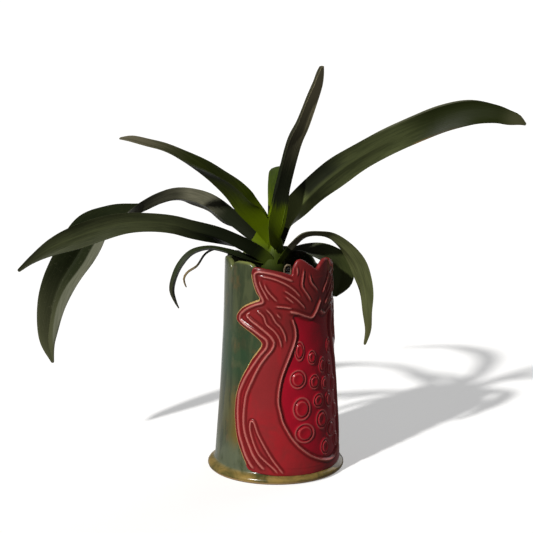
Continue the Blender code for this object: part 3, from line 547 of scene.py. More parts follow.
def sheet(ring, step, insets, clear, seeded=False):
    """Triangles inside the outline: its ring first, rings inside it, then an even net."""
    tangent = np.roll(ring, -1, 0) - np.roll(ring, 1, 0)
    tangent /= np.linalg.norm(tangent, axis=1)[:, None]
    normal = np.stack([-tangent[:, 1], tangent[:, 0]], -1)
    free = [ring + normal * s for s in insets]
    low, high = ring.min(0), ring.max(0)
    net = []
    for k, y in enumerate(np.arange(low[1], high[1], step * math.sqrt(3) / 2)):
        x = np.arange(low[0] + (k % 2) * step / 2, high[0], step)
        net.append(np.stack([x, 0 * x + y], -1))
    net = np.concatenate(net)
    net = net[inside(net, ring)]
    if seeded:
        loops, net = seed_loops(net)
        free.append(loops)
        insets += (0,)
    net = net[edge_distance(net, ring) > clear]
    limit = np.repeat(insets, [len(f) for f in free]) * 0.93
    free = np.concatenate(free)
    free = free[(edge_distance(free, ring) > limit) & inside(free, ring)]
    points = [Vector(q) for q in np.concatenate([ring, free, net]).tolist()]
    verts, _, faces, *_ = delaunay_2d_cdt(points, [], [tuple(range(len(ring)))], 1, 1e-5, False)
    verts = np.array([tuple(v) for v in verts])
    faces = np.array([tuple(f) for f in faces])
    return verts, faces[inside(verts[faces].mean(1), ring)].tolist()


def wrap(p, height):
    """Flat points laid round the wall, at a height over it."""
    return place(p[:, 0] / DEG, outer_radius(p[:, 1]) + GAP + height, p[:, 1])


def rounded(p, gap, height):
    """Height rounded off to the sheet's edge: to the wall below, to mid-thickness above the rim."""
    level = -GAP + (GAP + 0.35) * ease(p[:, 1], 150, 153.5)
    return level + (height - level) * np.sqrt(1 - (1 - clamp01(gap / EDGE_ROUND)) ** 2)


def build_relief():
    """The fruit is worked flat as a front and a back sheet, then wrapped round the wall."""
    ring = smooth_path(flat(LEFT_SIDE + CROWN_TOP + mirrored(LEFT_SIDE[-2::-1])), RELIEF_STEP, True)
    if np.cross(ring, np.roll(ring, -1, 0)).sum() < 0:
        ring = ring[::-1]
    front, faces = sheet(ring, RELIEF_STEP, (0.12, 0.35, 0.7, 1.15), 1.5, True)
    height, marks, domes = relief_height(front)
    gap = edge_distance(front, ring)
    height = rounded(front, gap, height * (0.8 + 0.2 * (1 - np.exp(-gap / 5))))
    side = LEFT_SIDE[1:-2]
    sides = np.minimum(*(distance_along(front, smooth_path(flat(path), 1))[0]
                         for path in (side, mirrored(side))))

    back, back_faces = sheet(ring, 1.8, (0.35, 1.15), 2.2)
    d = back[:, 0] / DEG
    above = ease(back[:, 1], 151.7, 153.2) * ease(d, -15, -9) * ease(d, 97.5, 91.5)
    deep = np.where(back[:, 1] > 150, -0.05 - (CROWN_EXTRA + 0.05) * above, -GAP)
    back_height = rounded(back, edge_distance(back, ring), deep)

    # Both sheets share the outline's points, so the back adds only its own.
    n = len(ring)
    plain = len(back) - n
    shift = len(front) - n
    verts = np.concatenate([wrap(front, height), wrap(back[n:], back_height[n:])])
    faces += [[i if i < n else i + shift for i in reversed(f)] for f in back_faces]
    marks = np.concatenate([marks, np.tile((0.1, 0, 0), (plain, 1))])
    edges = np.concatenate([np.stack([gap, sides, domes], -1), np.tile((3, 9, 0), (plain, 1))])
    add_piece("pomegranate", verts, faces, glaze_red(), "red_glaze", "pomegranate_relief",
              {"marks": marks, "edges": edges})


def spline(stations):
    """Smooth curve through a table of points and what they carry, read at any length along it."""
    fine = curve(np.array([stations[0], *stations, stations[-1]], float), 12, 0)
    length = lengths(fine[:, :3])
    kernel = np.exp(-np.linspace(-2, 2, 13) ** 2)
    for c in range(3, fine.shape[1]):
        padded = np.pad(fine[:, c], 6, mode="edge")
        fine[:, c] = np.convolve(padded, kernel / kernel.sum(), "valid")

    def at(s):
        return [float(np.interp(s, length, column)) for column in fine.T]
    return at, float(length[-1])


def heading(at, s, span):
    """Direction of a curve at a length, from the points a span before and after it."""
    return (Vector(at(s + span)[:3]) - Vector(at(s - span)[:3])).normalized()


def blade_section(at, s, name, thicker, narrow=1):
    """Ring round the blade, along its upper face and back along the lower one, and its marks."""
    side = LEAVES[name][0]
    roll_wave, margin_wave, phase = LEAF_LOOKS[name][1]
    x, y, z, w, roll, fold = at(s)
    t = heading(at, s, 2)
    towards = MARGIN_TOWARDS.get(name, Vector((0, -1, 0)))
    a0 = (towards - t * towards.dot(t)).normalized()
    n0 = t.cross(a0) if side < 0 else a0.cross(t)
    r = math.radians(roll + roll_wave * math.sin(s * 0.11 + phase))
    n = n0 * math.cos(r) + a0 * math.sin(r)
    a = a0 * math.cos(r) - n0 * math.sin(r)
    p = Vector((x, y, z))
    half = w / 2 * narrow
    upper, lower = [], []
    for i in range(-LEAF_COLUMNS, LEAF_COLUMNS + 1):
        k = i / LEAF_COLUMNS
        reach = abs(k)
        sign = (k > 0) - (k < 0)
        bow = 0.055 + 0.035 * math.sin(s * 0.055 + phase + (1.7 if k > 0 else 0))
        ripple = margin_wave * reach ** 3 * math.sin(s * 0.16 + phase * 2 + (2.4 if k > 0 else 0))
        f = math.radians(fold + ripple)
        rise = (math.sqrt(reach * reach + 0.004) - 0.0632) / 0.9388
        normal = n * math.cos(f) - a * (sign * math.sin(f)) if sign else n
        sag = bow * half * math.sin(math.pi * reach)
        along = a * (k * half * math.cos(f)) + n * (rise * half * math.sin(f)) + normal * sag
        body = KEEL_THICK + (MARGIN_THICK - KEEL_THICK) * reach ** 0.7
        body *= (0.45 + 0.55 * min(1, half / 6)) * thicker
        if reach > MARGIN_FROM:
            body *= math.sqrt(max(0, 1 - ((reach - MARGIN_FROM) / 0.16) ** 2))
        if sign == 0:
            body /= max(0.75, math.cos(f))
        upper.append((p + along + normal * body, (s, k * half, 1)))
        lower.append((p + along, (s, k * half, 0)))
    return list(zip(*(upper + lower[::-1])))


def loft(sections):
    """Closed skin through rings and their marks, with flat fans at both ends."""
    n = len(sections[0][0])
    verts = [v for ring, _ in sections for v in ring]
    marks = [m for _, info in sections for m in info]
    faces = grid_faces(len(sections), n)
    last = len(verts) - n
    for i in range(n // 2 - 1):
        j = n - 1 - i
        faces += [(i + 1, i, j, j - 1), (last + i, last + i + 1, last + j - 1, last + j)]
    return verts, faces, marks


# Look of each leaf: material slot, waves (roll and margin ripple in degrees, phase), colours of upper
# and lower face, length in mm over which its base's colour fades (young green on a, b and d, painted shade
# or painted light on the others), colour of its tip (on a, painted light).
LEAF_LOOKS = {
    "a": ("leaf_dark", (0.5, 0.8, 0.3), (20, 24, 12), (36, 40, 25), 6, (140, 132, 104)),
    "b": ("leaf_fresh", (1, 2, 1.2), (60, 76, 18), (62, 78, 20), 30, (68, 86, 30)),
    "c": ("leaf_dark", (0.8, 1.5, 2), (76, 82, 50), (74, 80, 48), 24, (64, 64, 42)),
    "d": ("leaf_dark", (0.6, 1.5, 2.9), (42, 48, 16), (44, 50, 16), 36, (92, 88, 70)),
    "e": ("leaf_grey", (1, 2, 3.7), (31, 36, 19), (98, 96, 80), 50, (74, 76, 54)),
    "f": ("leaf_dark", (0.8, 2, 4.4), (62, 66, 40), (60, 64, 40), 62, (52, 54, 36)),
    "g": ("leaf_dark", (1, 3, 5.1), (42, 50, 28), (58, 64, 40), 20, (52, 52, 36)),
    "h": ("leaf_withered", (2, 6, 0.9), (58, 56, 38), (64, 62, 44), 4, (124, 106, 72)),
    "i": ("leaf_grey", (1.5, 3.5, 1.8), (66, 70, 40), (86, 90, 56), 38, (80, 80, 50)),
    "j": ("leaf_dark", (1, 3, 2.5), (70, 78, 42), (54, 62, 34), 30, (62, 68, 36))}


def build_leaf(name):
    """Blade from its joint on the sheath out to a rounded tip."""
    _, joint, stations = LEAVES[name]
    at, total = spline(stations)
    count = round((total - joint) / LEAF_STEP)
    sections = [blade_section(at, s, name, 1 + 0.25 * math.exp(-(s - joint) / 12))
                for s in (joint + (total - joint) * i / count for i in range(count + 1))]
    outwards = heading(at, total - 1, 1)
    for past_tip, narrow in ((0.6, 0.88), (1.1, 0.64), (1.4, 0.3)):
        ring, info = blade_section(at, total, name, 0.9, narrow)
        sections.append(([v + outwards * past_tip for v in ring], info))
    verts, faces, marks = loft(sections)
    add_piece("blade_" + name, verts, faces, leaf_paint(name, joint, total), LEAF_LOOKS[name][0],
              "leaf_" + name, {"leaf": marks}, 60)


# Core of the stem: half widths in x and y, height, shift to the right, in mm.
STEM_CORE = np.array((
    (7.8, 5.4, 118, 0), (8.2, 5.5, 128, 0), (8.8, 5.5, 140, 0), (9.2, 5.7, 149, 0), (9.2, 6.2, 154, 0),
    (8, 5.8, 160, 0.6), (6, 4.8, 167, 2), (3.8, 3.2, 173, 3.2),
    (1, 1, 177, 4)))


def stem_core():
    """Flattened core, as a part."""
    verts, marks = [], []
    rows, sides = 32, 32
    for z in np.linspace(STEM_CORE[0, 2], STEM_CORE[-1, 2], rows):
        rx, ry, shift = (np.interp(z, STEM_CORE[:, 2], STEM_CORE[:, c]) for c in (0, 1, 3))
        for i in range(sides):
            a = 2 * math.pi * i / sides
            verts.append((STEM_X + shift + rx * math.cos(a), ry * math.sin(a), z))
            marks.append((z - 150, rx * math.cos(a), 2))
    return verts, capped_tube(rows, sides), marks


def sheath(name):
    """Folded sheath of a leaf, from inside the stem up to the blade's joint."""
    _, joint, stations = LEAVES[name]
    at, _ = spline(stations)
    steps = max(6, round(joint / SHEATH_STEP))
    return loft([blade_section(at, s, name, 1.25, 0.4 + 0.6 * ease(s, 0, 7))
                 for s in (joint * i / steps for i in range(steps + 1))])


def build_stem():
    """Core wrapped by the sheaths of the ten leaves."""
    parts = [stem_core()] + [sheath(name) for name in LEAVES]
    verts, faces, marks = joined(parts)
    # Sheaths painted with shade are marked 1.
    shaded_sheath = [0] + [0 if name in GREEN_SHEATHS else 1 for name in LEAVES]
    painted_shade = np.outer(np.repeat(shaded_sheath, [len(part[0]) for part in parts]), (1, 0, 0))
    add_piece("stem_sheaths", verts, faces, sheath_paint(), "sheath_green", "stem",
              {"leaf": marks, "painted_shade": painted_shade}, 60)


def chip_hull(rng, size):
    """Rough split chip: the hull of points near the faces of a small block."""
    bm = bmesh.new()
    for _ in range(16):
        point = [rng.uniform(-1, 1) for _ in range(3)]
        point[rng.randrange(3)] = rng.choice((-1, 1)) * rng.uniform(0.75, 1)
        bm.verts.new([c * s for c, s in zip(point, size)])
    bmesh.ops.convex_hull(bm, input=bm.verts)
    bmesh.ops.delete(bm, geom=[v for v in bm.verts if not v.link_faces], context="VERTS")
    bmesh.ops.bevel(bm, geom=list(bm.edges), offset=0.16, segments=1, affect="EDGES")
    bmesh.ops.triangulate(bm, faces=bm.faces)
    bm.verts.index_update()
    verts = [v.co.copy() for v in bm.verts]
    faces = [tuple(v.index for v in f.verts) for f in bm.faces]
    bm.free()
    return verts, faces


CHIPS = 150
CHIP_SEED = 11
CHIP_FIELD = 31.5  # radius in mm of the field of chips
CHIP_ROOM = 33.6  # a chip that would reach past this radius is made smaller
CHIP_FREE = (12.5, 9)  # half sizes of the oval round the stem without chips
DRY_ROOT = [
    (7, -13, 147), (6.2, -15.5, 152), (6.6, -17.5, 156.4), (8.4, -18.5, 158.4), (10.4, -17.5, 157.6),
    (11.2, -15.5, 155), (11, -14, 151)]
ROOT_RADIUS = 0.75


def bark_filling():
    """Filling from the vase's floor up to its rough top, as a part."""
    deg = np.arange(0, 360, CAD_STEP)
    rows = []
    for z, gap in ((8.4, 3.7), (12.4, 0.35), (60, 0.35), (110, 0.35), (143, 0.35), (145.6, 0.6)):
        rows.append(place(deg, outer_radius(z) - WALL - gap, z))
    for k in (0.94, 0.86, 0.76, 0.66, 0.55, 0.44, 0.33, 0.22, 0.1):
        bump = np.array([noise.noise(Vector((k * 9, 6 * math.cos(a), 6 * math.sin(a))))
                         for a in np.radians(deg)])
        rows.append(place(deg, (outer_radius(146) - WALL) * k, 146.4 + 1.1 * bump))
    verts = [tuple(v) for row in rows for v in row]
    return verts, capped_tube(len(rows), len(deg)), [(0.35, 0, 0)] * len(verts)


def bark_chips():
    """Chips strewn over the filling, clear of the stem, each as a part."""
    rng = random.Random(CHIP_SEED)
    laid = 0
    while laid < CHIPS:
        angle = rng.uniform(0, 2 * math.pi)
        away = CHIP_FIELD * math.sqrt(rng.uniform(0.06, 1))
        x, y = away * math.cos(angle), away * math.sin(angle)
        if math.hypot((x - STEM_X) / CHIP_FREE[0], y / CHIP_FREE[1]) < 1:
            continue
        size = (rng.uniform(2.6, 5.6), rng.uniform(1.6, 3.2), rng.uniform(0.9, 1.9))
        if away + size[0] > CHIP_ROOM:
            size = tuple(s * 0.55 for s in size)
        turn = Matrix.Rotation(rng.uniform(0, 2 * math.pi), 3, "Z")
        tilt = Matrix.Rotation(rng.uniform(-0.45, 0.45), 3, "Y")
        tilt = tilt @ Matrix.Rotation(rng.uniform(-0.3, 0.3), 3, "X")
        middle = Vector((x + LEAN * BARK_TOP, y, BARK_TOP + rng.uniform(-0.8, 1.9)))
        chip, faces = chip_hull(rng, size)
        shade = rng.random()
        yield [middle + turn @ (tilt @ v) for v in chip], faces, [(shade, v.x, v.y) for v in chip]
        laid += 1


def dry_root():
    """Thin root that curls up out of the bark, as a part."""
    at, total = spline(DRY_ROOT)
    rows, sides = 41, 10
    verts = []
    for i in range(rows):
        s = total * i / (rows - 1)
        t = heading(at, s, 0.5)
        a = (a - t * a.dot(t)).normalized() if i else t.orthogonal().normalized()
        b = t.cross(a)
        verts += [Vector(at(s)[:3]) + (a * math.cos(q) + b * math.sin(q)) * ROOT_RADIUS
                  for q in np.linspace(0, 2 * math.pi, sides, endpoint=False)]
    return verts, capped_tube(rows, sides), [(2, 0, 0)] * len(verts)


def build_bark():
    """Potting bark: a filling with a rough top, chips lying on it and one dry curled root."""
    verts, faces, marks = joined([bark_filling(), *bark_chips(), dry_root()])
    add_piece("bark_filling", verts, faces, bark_paint(), "bark", "potting_bark", {"chip": marks}, 38)


def srgb(colour):
    """Linear colour from 0 to 255 display values."""
    shares = [c / 255 for c in colour]
    return (*(c / 12.92 if c <= 0.04045 else ((c + 0.055) / 1.055) ** 2.4 for c in shares), 1)


class Paint:
    """A node material with short calls for the nodes that the finishes share.

    A colour is a socket, or three display values from 0 to 255."""

    def __init__(self, name, **sockets):
        self.material = bpy.data.materials.new(name)
        self.material.use_nodes = True
        self.tree = self.material.node_tree
        self.shader = self.tree.nodes["Principled BSDF"]
        for key, value in sockets.items():
            self.shader.inputs[key.replace("_", " ")].default_value = value

    def node(self, kind, **settings):
        made = self.tree.nodes.new("ShaderNode" + kind)
        for key, value in settings.items():
            setattr(made, key, value)
        return made

    def plug(self, socket, value):
        if isinstance(value, bpy.types.NodeSocket):
            self.tree.links.new(value, socket)
        else:
            socket.default_value = value

    def feed(self, made, *values):
        """Plugs values into a node's first inputs, and gives its first output."""
        for socket, value in zip(made.inputs, values):
            self.plug(socket, value)
        return made.outputs[0]

    def split(self, vector):
        """The x, y and z of a vector."""
        made = self.node("SeparateXYZ")
        self.feed(made, vector)
        return made.outputs

    def marks(self, name):
        """The three channels of a mesh attribute."""
        return self.split(self.node("Attribute", attribute_name=name).outputs["Vector"])

    def math(self, operation, a, b=0, c=0, clamp=False):
        return self.feed(self.node("Math", operation=operation, use_clamp=clamp), a, b, c)

    def times(self, product, *factors):
        for factor in factors:
            product = self.math("MULTIPLY", product, factor)
        return product

    def line(self, value, slope, start):
        """Value times slope, plus start."""
        return self.math("MULTIPLY_ADD", value, slope, start)

    def step(self, value, low, high):
        """Smooth rise from 0 at low to 1 at high. Low may be above high."""
        made = self.node("MapRange", interpolation_type="SMOOTHSTEP")
        return self.feed(made, value, low, high, 0, 1)

    def band(self, value, low, full, fade, end):
        """1 from full to fade, falling to 0 at low and at end."""
        return self.times(self.step(value, low, full), self.step(value, end, fade))

    def mix(self, factor, a, b):
        made = self.node("Mix", data_type="RGBA")
        self.plug(made.inputs["Factor"], factor)
        for socket, value in zip(made.inputs[6:8], (a, b)):
            self.plug(socket, srgb(value) if isinstance(value, tuple) else value)
        return made.outputs[2]

    def coats(self, colour, *layers):
        """Lays tones over a colour, each as strongly as the product of its masks."""
        for tone, *masks in layers:
            colour = self.mix(self.times(*masks), colour, tone)
        return colour

    def place(self, scale=(1, 1, 1)):
        """Object coordinates in mm, stretched."""
        made = self.node("Mapping")
        made.inputs["Scale"].default_value = tuple(s / MM for s in scale)
        return self.feed(made, self.node("TexCoord").outputs["Object"])

    def noise(self, vector, scale, detail=3, roughness=0.55, distortion=0):
        made = self.node("TexNoise")
        for key, value in (("Vector", vector), ("Scale", scale), ("Detail", detail),
                           ("Roughness", roughness), ("Distortion", distortion)):
            self.plug(made.inputs[key], value)
        return made.outputs["Fac"]

    def combine(self, x, y, z):
        return self.feed(self.node("CombineXYZ"), x, y, z)

    def finish(self, colour, rough, height, distance, strength=0.6):
        """Wires colour, roughness and a bump whose depth is given in mm."""
        bump = self.node("Bump")
        for key, value in (("Strength", strength), ("Distance", distance * MM), ("Height", height)):
            self.plug(bump.inputs[key], value)
        for key, value in (("Base Color", colour), ("Roughness", rough), ("Normal", bump.outputs[0])):
            self.plug(self.shader.inputs[key], value)
        return self.material


def glaze_green():
    """Runny green glaze: mottled grey-green, teal and ochre patches, thin and pale on the lip, with
    painted light making the lip paler at the front left, and painted shade darkening the inside.
    """
    p = Paint("glaze_green", IOR=1.45)
    inside_shade, lip, patch = p.marks("shell")
    where = p.place()
    height = p.split(where)[2]
    streak = p.noise(p.place((0.14, 0.14, 0.03)), 1, 4, 0.6, 0.5)
    cloud = p.noise(p.place((0.05, 0.05, 0.034)), 1, 4, 0.6, 0.8)
    rust = p.noise(p.place((0.09, 0.09, 0.05)), 1, 4, 0.65)
    grain = p.noise(where, 1.3, 2)
    ochre = p.band(p.math("ADD", height, p.times(cloud, 30)), 36, 50, 74, 88)
    colour = p.coats(
        p.mix(p.step(streak, 0.36, 0.64), (54, 62, 42), (74, 80, 54)),
        ((96, 78, 48), p.step(rust, 0.54, 0.66), 0.5),
        ((38, 66, 44), p.band(height, 68, 84, 102, 124), p.step(cloud, 0.38, 0.54), 0.65),
        ((108, 88, 36), ochre, p.line(patch, 0.8, 0.2), p.step(streak, 0.3, 0.5), 0.85),
        ((100, 106, 86), p.step(height, 34, 18), p.step(cloud, 0.4, 0.56), 0.6),
        (p.mix(p.step(cloud, 0.34, 0.66), (74, 72, 38), (144, 120, 64)), p.step(height, 8, 5)),
        ((196, 160, 112), p.step(height, 2.3, 1.3)),
        # Pale lip, with painted light at the front left.
        ((136, 142, 76), lip, 0.85),
        # Painted shade inside the vase.
        ((44, 56, 36), inside_shade, 0.55),
        ((20, 26, 18), p.step(grain, 0.62, 0.72), 0.35))
    wave = p.math("ADD", p.noise(where, 0.09, 2), p.times(grain, 0.12))
    return p.finish(colour, p.line(streak, 0.16, 0.12), wave, 0.5)


def glaze_red():
    """Deep red glaze that breaks pale over ridges, pools dark in furrows and leaves a bare edge."""
    p = Paint("glaze_red", IOR=1.42)
    ridge, groove, chamber = p.marks("marks")
    gap, sides, dome = p.marks("edges")
    where = p.place()
    cloud = p.step(p.noise(p.place((0.05, 0.05, 0.03)), 1, 3, 0.6, 0.6), 0.38, 0.62)
    grain = p.noise(where, 1.1, 3)
    upper = p.step(p.split(where)[2], 96, 128)
    lower_field = p.mix(cloud, (134, 38, 40), (154, 32, 38))
    upper_field = p.mix(cloud, (116, 34, 34), (132, 32, 34))
    colour = p.coats(
        p.mix(upper, lower_field, upper_field),
        (p.mix(upper, (160, 10, 34), (150, 12, 32)), chamber),
        ((160, 18, 32), dome, 0.6),
        ((88, 12, 12), groove, 0.8),
        ((184, 108, 100), p.math("MULTIPLY", p.step(ridge, 0.2, 0.8), p.line(grain, 0.6, 0.7), clamp=True),
         p.line(chamber, -0.22, 0.76)),
        ((60, 8, 10), p.step(grain, 0.66, 0.78), 0.4),
        ((96, 34, 22), p.step(gap, 2.2, 1.4), p.step(sides, 3.5, 1.6), 0.35),
        (p.mix(grain, (150, 116, 66), (196, 160, 104)), p.step(gap, 1.4, 0.95), p.step(sides, 3, 1.2)))
    rough = p.line(p.step(gap, 2, 1), 0.16, p.line(grain, 0.14, 0.17))
    rough = p.line(p.step(ridge, 0.2, 0.7), 0.12, rough)
    wave = p.math("ADD", p.noise(where, 0.11, 2), p.times(grain, 0.04))
    return p.finish(colour, rough, wave, 0.45)


YOUNG = "abd"
# Leaves whose sheaths keep their green; the other leaves' sheaths are painted with shade.
GREEN_SHEATHS = YOUNG + "e"
# Length in mm of a tip's colour (on a, painted light), and of a base's full colour (painted shade on e and
# f), where it isn't the usual one.
WORN_OR_LIT_TIP_LENGTH = {"a": 72, "d": 40, "e": 70}
FULL_BASE = {"e": 22, "f": 24}
SHEEN = {"d": 0.05, "e": 0.04}
YOUNG_SHARE = 0.85  # how much of a base's own colour, or of the painted shade on the shaded sheaths, shows through the texture
PALE_SHARE = 0.96  # the same on the other leaves, whose bases are painted shade or painted light
# Painted shade on the bases of e, f, g and h, and on the sheaths of c, f, g, h, i and j.
SHADED_BASE = (18, 23, 10)
# Painted light: bases painted lighter, lifting those of c and j out of the shade that falls on them and
# giving i's base a sheen.
PAINTED_LIGHT_BASES = {"c": (60, 68, 36), "i": (100, 100, 80), "j": (66, 68, 56)}


def leaf_texture(p, leaf, upper, lower):
    """Veined leaf colour and relief from the blade's own length and width, in mm."""
    along, across, face = leaf
    blotch = p.noise(p.combine(p.times(along, 0.05), p.times(across, 0.8), face), 1, 4, 0.6, 0.3)
    veins = p.math("SINE", p.line(across, 5.2, p.times(blotch, 3)))
    fine = p.noise(p.combine(p.times(along, 0.25), p.times(across, 3.2), face), 1, 3)
    colour = p.mix(face, lower, upper)
    dark = p.mix(0.35, colour, (21.957, 28.579, 15.557))
    light = p.mix(0.22, colour, (120, 128, 80))
    colour = p.coats(
        p.mix(p.step(blotch, 0.36, 0.62), dark, colour),
        (light, p.step(fine, 0.52, 0.78), 0.4),
        (dark, p.step(veins, -0.2, -0.9), 0.12),
        (light, p.step(p.math("ABSOLUTE", across), 0.75, 0.25), 0.3))
    return colour, p.math("ADD", p.times(veins, 0.35), p.times(fine, 0.8)), blotch


def young_green(p):
    """Colour of the leaf bases by height: dark on the stem's foot, yellow-green where they part."""
    height = p.split(p.place())[2]
    colour = p.mix(p.step(height, 148, 160), (28, 34, 14), (58, 70, 18))
    return p.mix(p.step(height, 163, 172), colour, (88, 106, 2))


def marks_c(p, leaf, blotch, total):
    """Worn mark on the near margin, painted shade on the far half, painted light on the base, which lies
    in shade, deep green end and a painted highlight along the far margin.
    """
    along, across, _ = leaf
    spot = p.math("ADD", along, p.times(blotch, 20))
    return (
        ((150, 120, 74), p.band(spot, 150, 158, 186, 196), p.step(across, -8.8, -9.6), 0.85),
        # Painted shade on the far half near the base.
        ((24, 27, 20), p.step(across, 0, 3), p.step(along, 100, 76), 0.85),
        # Painted light on the base, which lies in shade.
        ((120, 130, 76), p.step(along, 58, 46), 0.8),
        ((25, 31, 5), p.band(along, 130, 164, total - 22, total - 2), 0.9),
        # Painted highlight along the far margin.
        ((120, 122, 98), p.step(across, 8.4, 9.4), p.step(along, 110, 140), 0.7))


def marks_e(p, leaf, _, total):
    """Painted shade on the bend, a painted sheen as a pale strip with fine lines beside the hanging part's
    margin, pale scratches on the outer part.
    """
    along, across, _ = leaf
    lines = p.noise(p.combine(p.times(along, 0.05), p.times(across, 1.6), 0), 1, 3)
    fold = p.line(p.step(along, total - 36, total - 86), 5, 5)
    scratch = p.noise(p.place((0.5, 0.5, 0.9)), 1, 5, 0.7, 1.5)
    return (
        # Painted shade on the bend.
        ((14, 18, 8), p.band(along, 96, 112, 140, 160), 0.6),
        # Painted sheen: a pale strip on the half of the hanging part turned to the light.
        (p.mix(p.step(lines, 0.4, 0.6), (84, 86, 70), (98, 100, 84)),
         p.step(along, total - 135, total - 105), p.step(p.math("SUBTRACT", across, fold), 0, 2)),
        ((120, 116, 96), p.step(scratch, 0.62, 0.68), p.step(along, total - 110, total - 80), 0.5))


OWN_MARKS = {"c": marks_c, "e": marks_e}


def leaf_paint(name, joint, total):
    """Waxy blade: yellow-green towards the stem on a, b and d, painted shade or painted light on the other
    bases, darker outwards, browned at the tip, and painted light on a's tip.
    """
    _, _, upper, lower, reach_of_base, tip = LEAF_LOOKS[name]
    p = Paint("skin_leaf_" + name, Specular_IOR_Level=SHEEN.get(name, 0.1))
    leaf = p.marks("leaf")
    colour, height, blotch = leaf_texture(p, leaf, upper, lower)
    reach = p.line(blotch, 16, p.times(leaf[0], -1))
    # Base colour: young green on a, b and d, painted shade or painted light on the others.
    young_or_painted_light_base = p.step(reach, -joint - reach_of_base, -joint - FULL_BASE.get(name, -4))
    young = name in YOUNG
    base = young_green(p) if young else PAINTED_LIGHT_BASES.get(name, SHADED_BASE)
    worn_or_lit_tip = [p.step(p.line(blotch, 30, leaf[0]), total - WORN_OR_LIT_TIP_LENGTH.get(name, 14), total + 10)]
    # On a the tip's colour is painted light, laid mostly on the lower face, which is in shade.
    if name == "a":
        worn_or_lit_tip.append(p.line(leaf[2], -0.85, 1))
    colour = p.coats(colour, (base, young_or_painted_light_base, YOUNG_SHARE if young else PALE_SHARE), (tip, *worn_or_lit_tip))
    if name in OWN_MARKS:
        colour = p.coats(colour, *OWN_MARKS[name](p, leaf, blotch, total))
    return p.finish(colour, p.line(blotch, 0.2, 0.36), height, 0.1)


def sheath_paint():
    """Young yellow-green sheaths, darker lower down where they clasp the stem, and painted shade on the
    sheaths of c, f, g, h, i and j past their first 9 to 18 mm.
    """
    p = Paint("skin_sheaths", Specular_IOR_Level=0.1)
    along, across, face = p.marks("leaf")
    # Painted shade on those sheaths past their first 9 to 18 mm.
    shaded_sheath = p.times(p.marks("painted_shade")[0], p.step(along, 9, 18))
    colour, height, blotch = leaf_texture(p, (along, across, p.step(face, 0, 1)),
                                          (40, 50, 20), (48, 60, 24))
    colour = p.mix(YOUNG_SHARE, colour, p.mix(shaded_sheath, young_green(p), SHADED_BASE))
    return p.finish(colour, p.line(blotch, 0.2, 0.36), height, 0.1)


def bark_paint():
    """Damp conifer bark: dark, split along the grain, some chips redder, a little shine."""
    p = Paint("bark_chips")
    shade, grain_x, grain_y = p.marks("chip")
    fibre = p.noise(p.combine(p.times(grain_x, 0.25), p.times(grain_y, 1.6), shade), 2, 4)
    crumbs = p.noise(p.place(), 0.6, 4, 0.65)
    colour = p.coats(
        p.mix(p.step(shade, 0.1, 0.95), (26, 18, 14), (74, 48, 34)),
        ((16, 12, 10), p.step(crumbs, 0.45, 0.7)),
        ((96, 68, 50), p.step(fibre, 0.5, 0.75), 0.5),
        (p.mix(crumbs, (84, 72, 54), (136, 122, 98)), p.step(shade, 1.2, 1.8)))
    height = p.math("ADD", fibre, p.times(crumbs, 1.4))
    return p.finish(colour, p.line(crumbs, 0.5, 0.2), height, 0.5, 0.8)


# Suns: direction, strength, width in degrees, colour. The photo's floor shadow gives the key light,
# 39 degrees left of the viewer and 34 degrees up.
SUNS = {"key": ((-0.632, -0.775, 0.675), 3.9, 2.6, (1, 0.985, 0.96)),
        "bounce": ((0.5, 0.8, 0.45), 0.6, 50, (1, 1, 1))}
SKY = 0.1  # strength of the even fill light
PAPER_WHITE = 0.8  # the paper as the camera sees it
PAPER_GLOW = 0.36  # keeps the shadow on the paper as pale as in the photo
PAPER_GREY = 0.22  # the paper as it lights the object
FLOOR_REACH = 60  # half the floor's side in m
SENSOR = 36  # width of the camera's sensor in mm


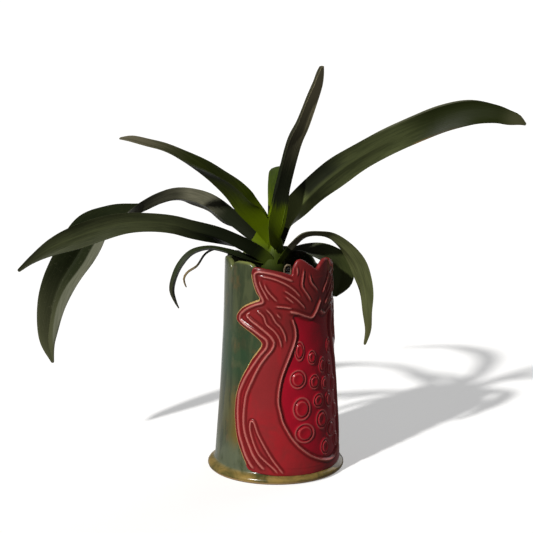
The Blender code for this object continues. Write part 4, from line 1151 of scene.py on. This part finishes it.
def paper_material():
    """White paper with a soft grey shadow. It lights the object only faintly, and its part behind the
    vase on the left gives glazes and leaves their pale sheen."""
    paper = Paint("paper", Base_Color=(*[PAPER_GREY] * 3, 1), Roughness=0.9, Specular_IOR_Level=0)
    x, y, _ = paper.split(paper.place())
    slope = paper.math("DIVIDE", y, paper.math("MAXIMUM", paper.math("ABSOLUTE", x), 1))
    back = paper.times(paper.step(slope, -0.2, 0.7), paper.step(x, 0, -20))
    back = paper.math("ADD", back, paper.times(paper.step(slope, 1.6, 2.6), 2))
    bright, glow, sheen, seen = (
        paper.node(kind) for kind in ("BsdfDiffuse", "Emission", "Emission", "LightPath"))
    bright.inputs["Color"].default_value = (*[PAPER_WHITE] * 3, 1)
    glow.inputs["Strength"].default_value = PAPER_GLOW
    paper.plug(sheen.inputs["Strength"], paper.line(back, 0.32, 0.13))
    both = paper.feed(paper.node("AddShader"), bright.outputs[0], glow.outputs[0])
    look = paper.shader.outputs[0]
    for ray, other in (("Is Camera Ray", both), ("Is Glossy Ray", sheen.outputs[0])):
        look = paper.feed(paper.node("MixShader"), seen.outputs[ray], look, other)
    paper.plug(paper.tree.nodes["Material Output"].inputs["Surface"], look)
    return paper.material


def build_stage():
    """Pale floor, key light from the front left, soft light from behind, faint sky and the camera."""
    scene = bpy.context.scene
    mesh = bpy.data.meshes.new("floor")
    corners = ((-1, -1), (1, -1), (1, 1), (-1, 1))
    mesh.from_pydata([(FLOOR_REACH * x, FLOOR_REACH * y, 0) for x, y in corners], [], [(0, 1, 2, 3)])
    floor = show("floor", mesh)
    mesh.materials.append(paper_material())

    scene.world = bpy.data.worlds.new("studio")
    scene.world.use_nodes = True
    tree = scene.world.node_tree
    sky = tree.nodes["Background"]
    sky.inputs[0].default_value = (1, 1, 1, 1)
    seen = tree.nodes.new("ShaderNodeLightPath")
    power = tree.nodes.new("ShaderNodeMapRange")
    tree.links.new(seen.outputs["Is Camera Ray"], power.inputs["Value"])
    power.inputs["To Min"].default_value = SKY
    tree.links.new(power.outputs["Result"], sky.inputs[1])

    for name, (direction, strength, width, colour) in SUNS.items():
        data = bpy.data.lights.new(name, "SUN")
        data.energy = strength
        data.color = colour
        data.angle = math.radians(width)
        lamp = show(name, data)
        lamp.location = direction
        lamp.rotation_euler = (-lamp.location).to_track_quat("-Z", "Y").to_euler()

    data = bpy.data.cameras.new("camera")
    data.sensor_width = SENSOR
    data.lens = SENSOR * FOCAL_PIXELS / PHOTO_SIZE
    data.clip_start = 0.05
    camera = show("camera", data)
    camera.location = CAMERA_PLACE
    camera.rotation_euler = (math.radians(90 - CAMERA_PITCH), 0, 0)
    scene.camera = camera
    scene.view_settings.view_transform = "Standard"


build_stage()
build_vase()
build_relief()
build_bark()
build_stem()
for leaf_name in LEAVES:
    build_leaf(leaf_name)
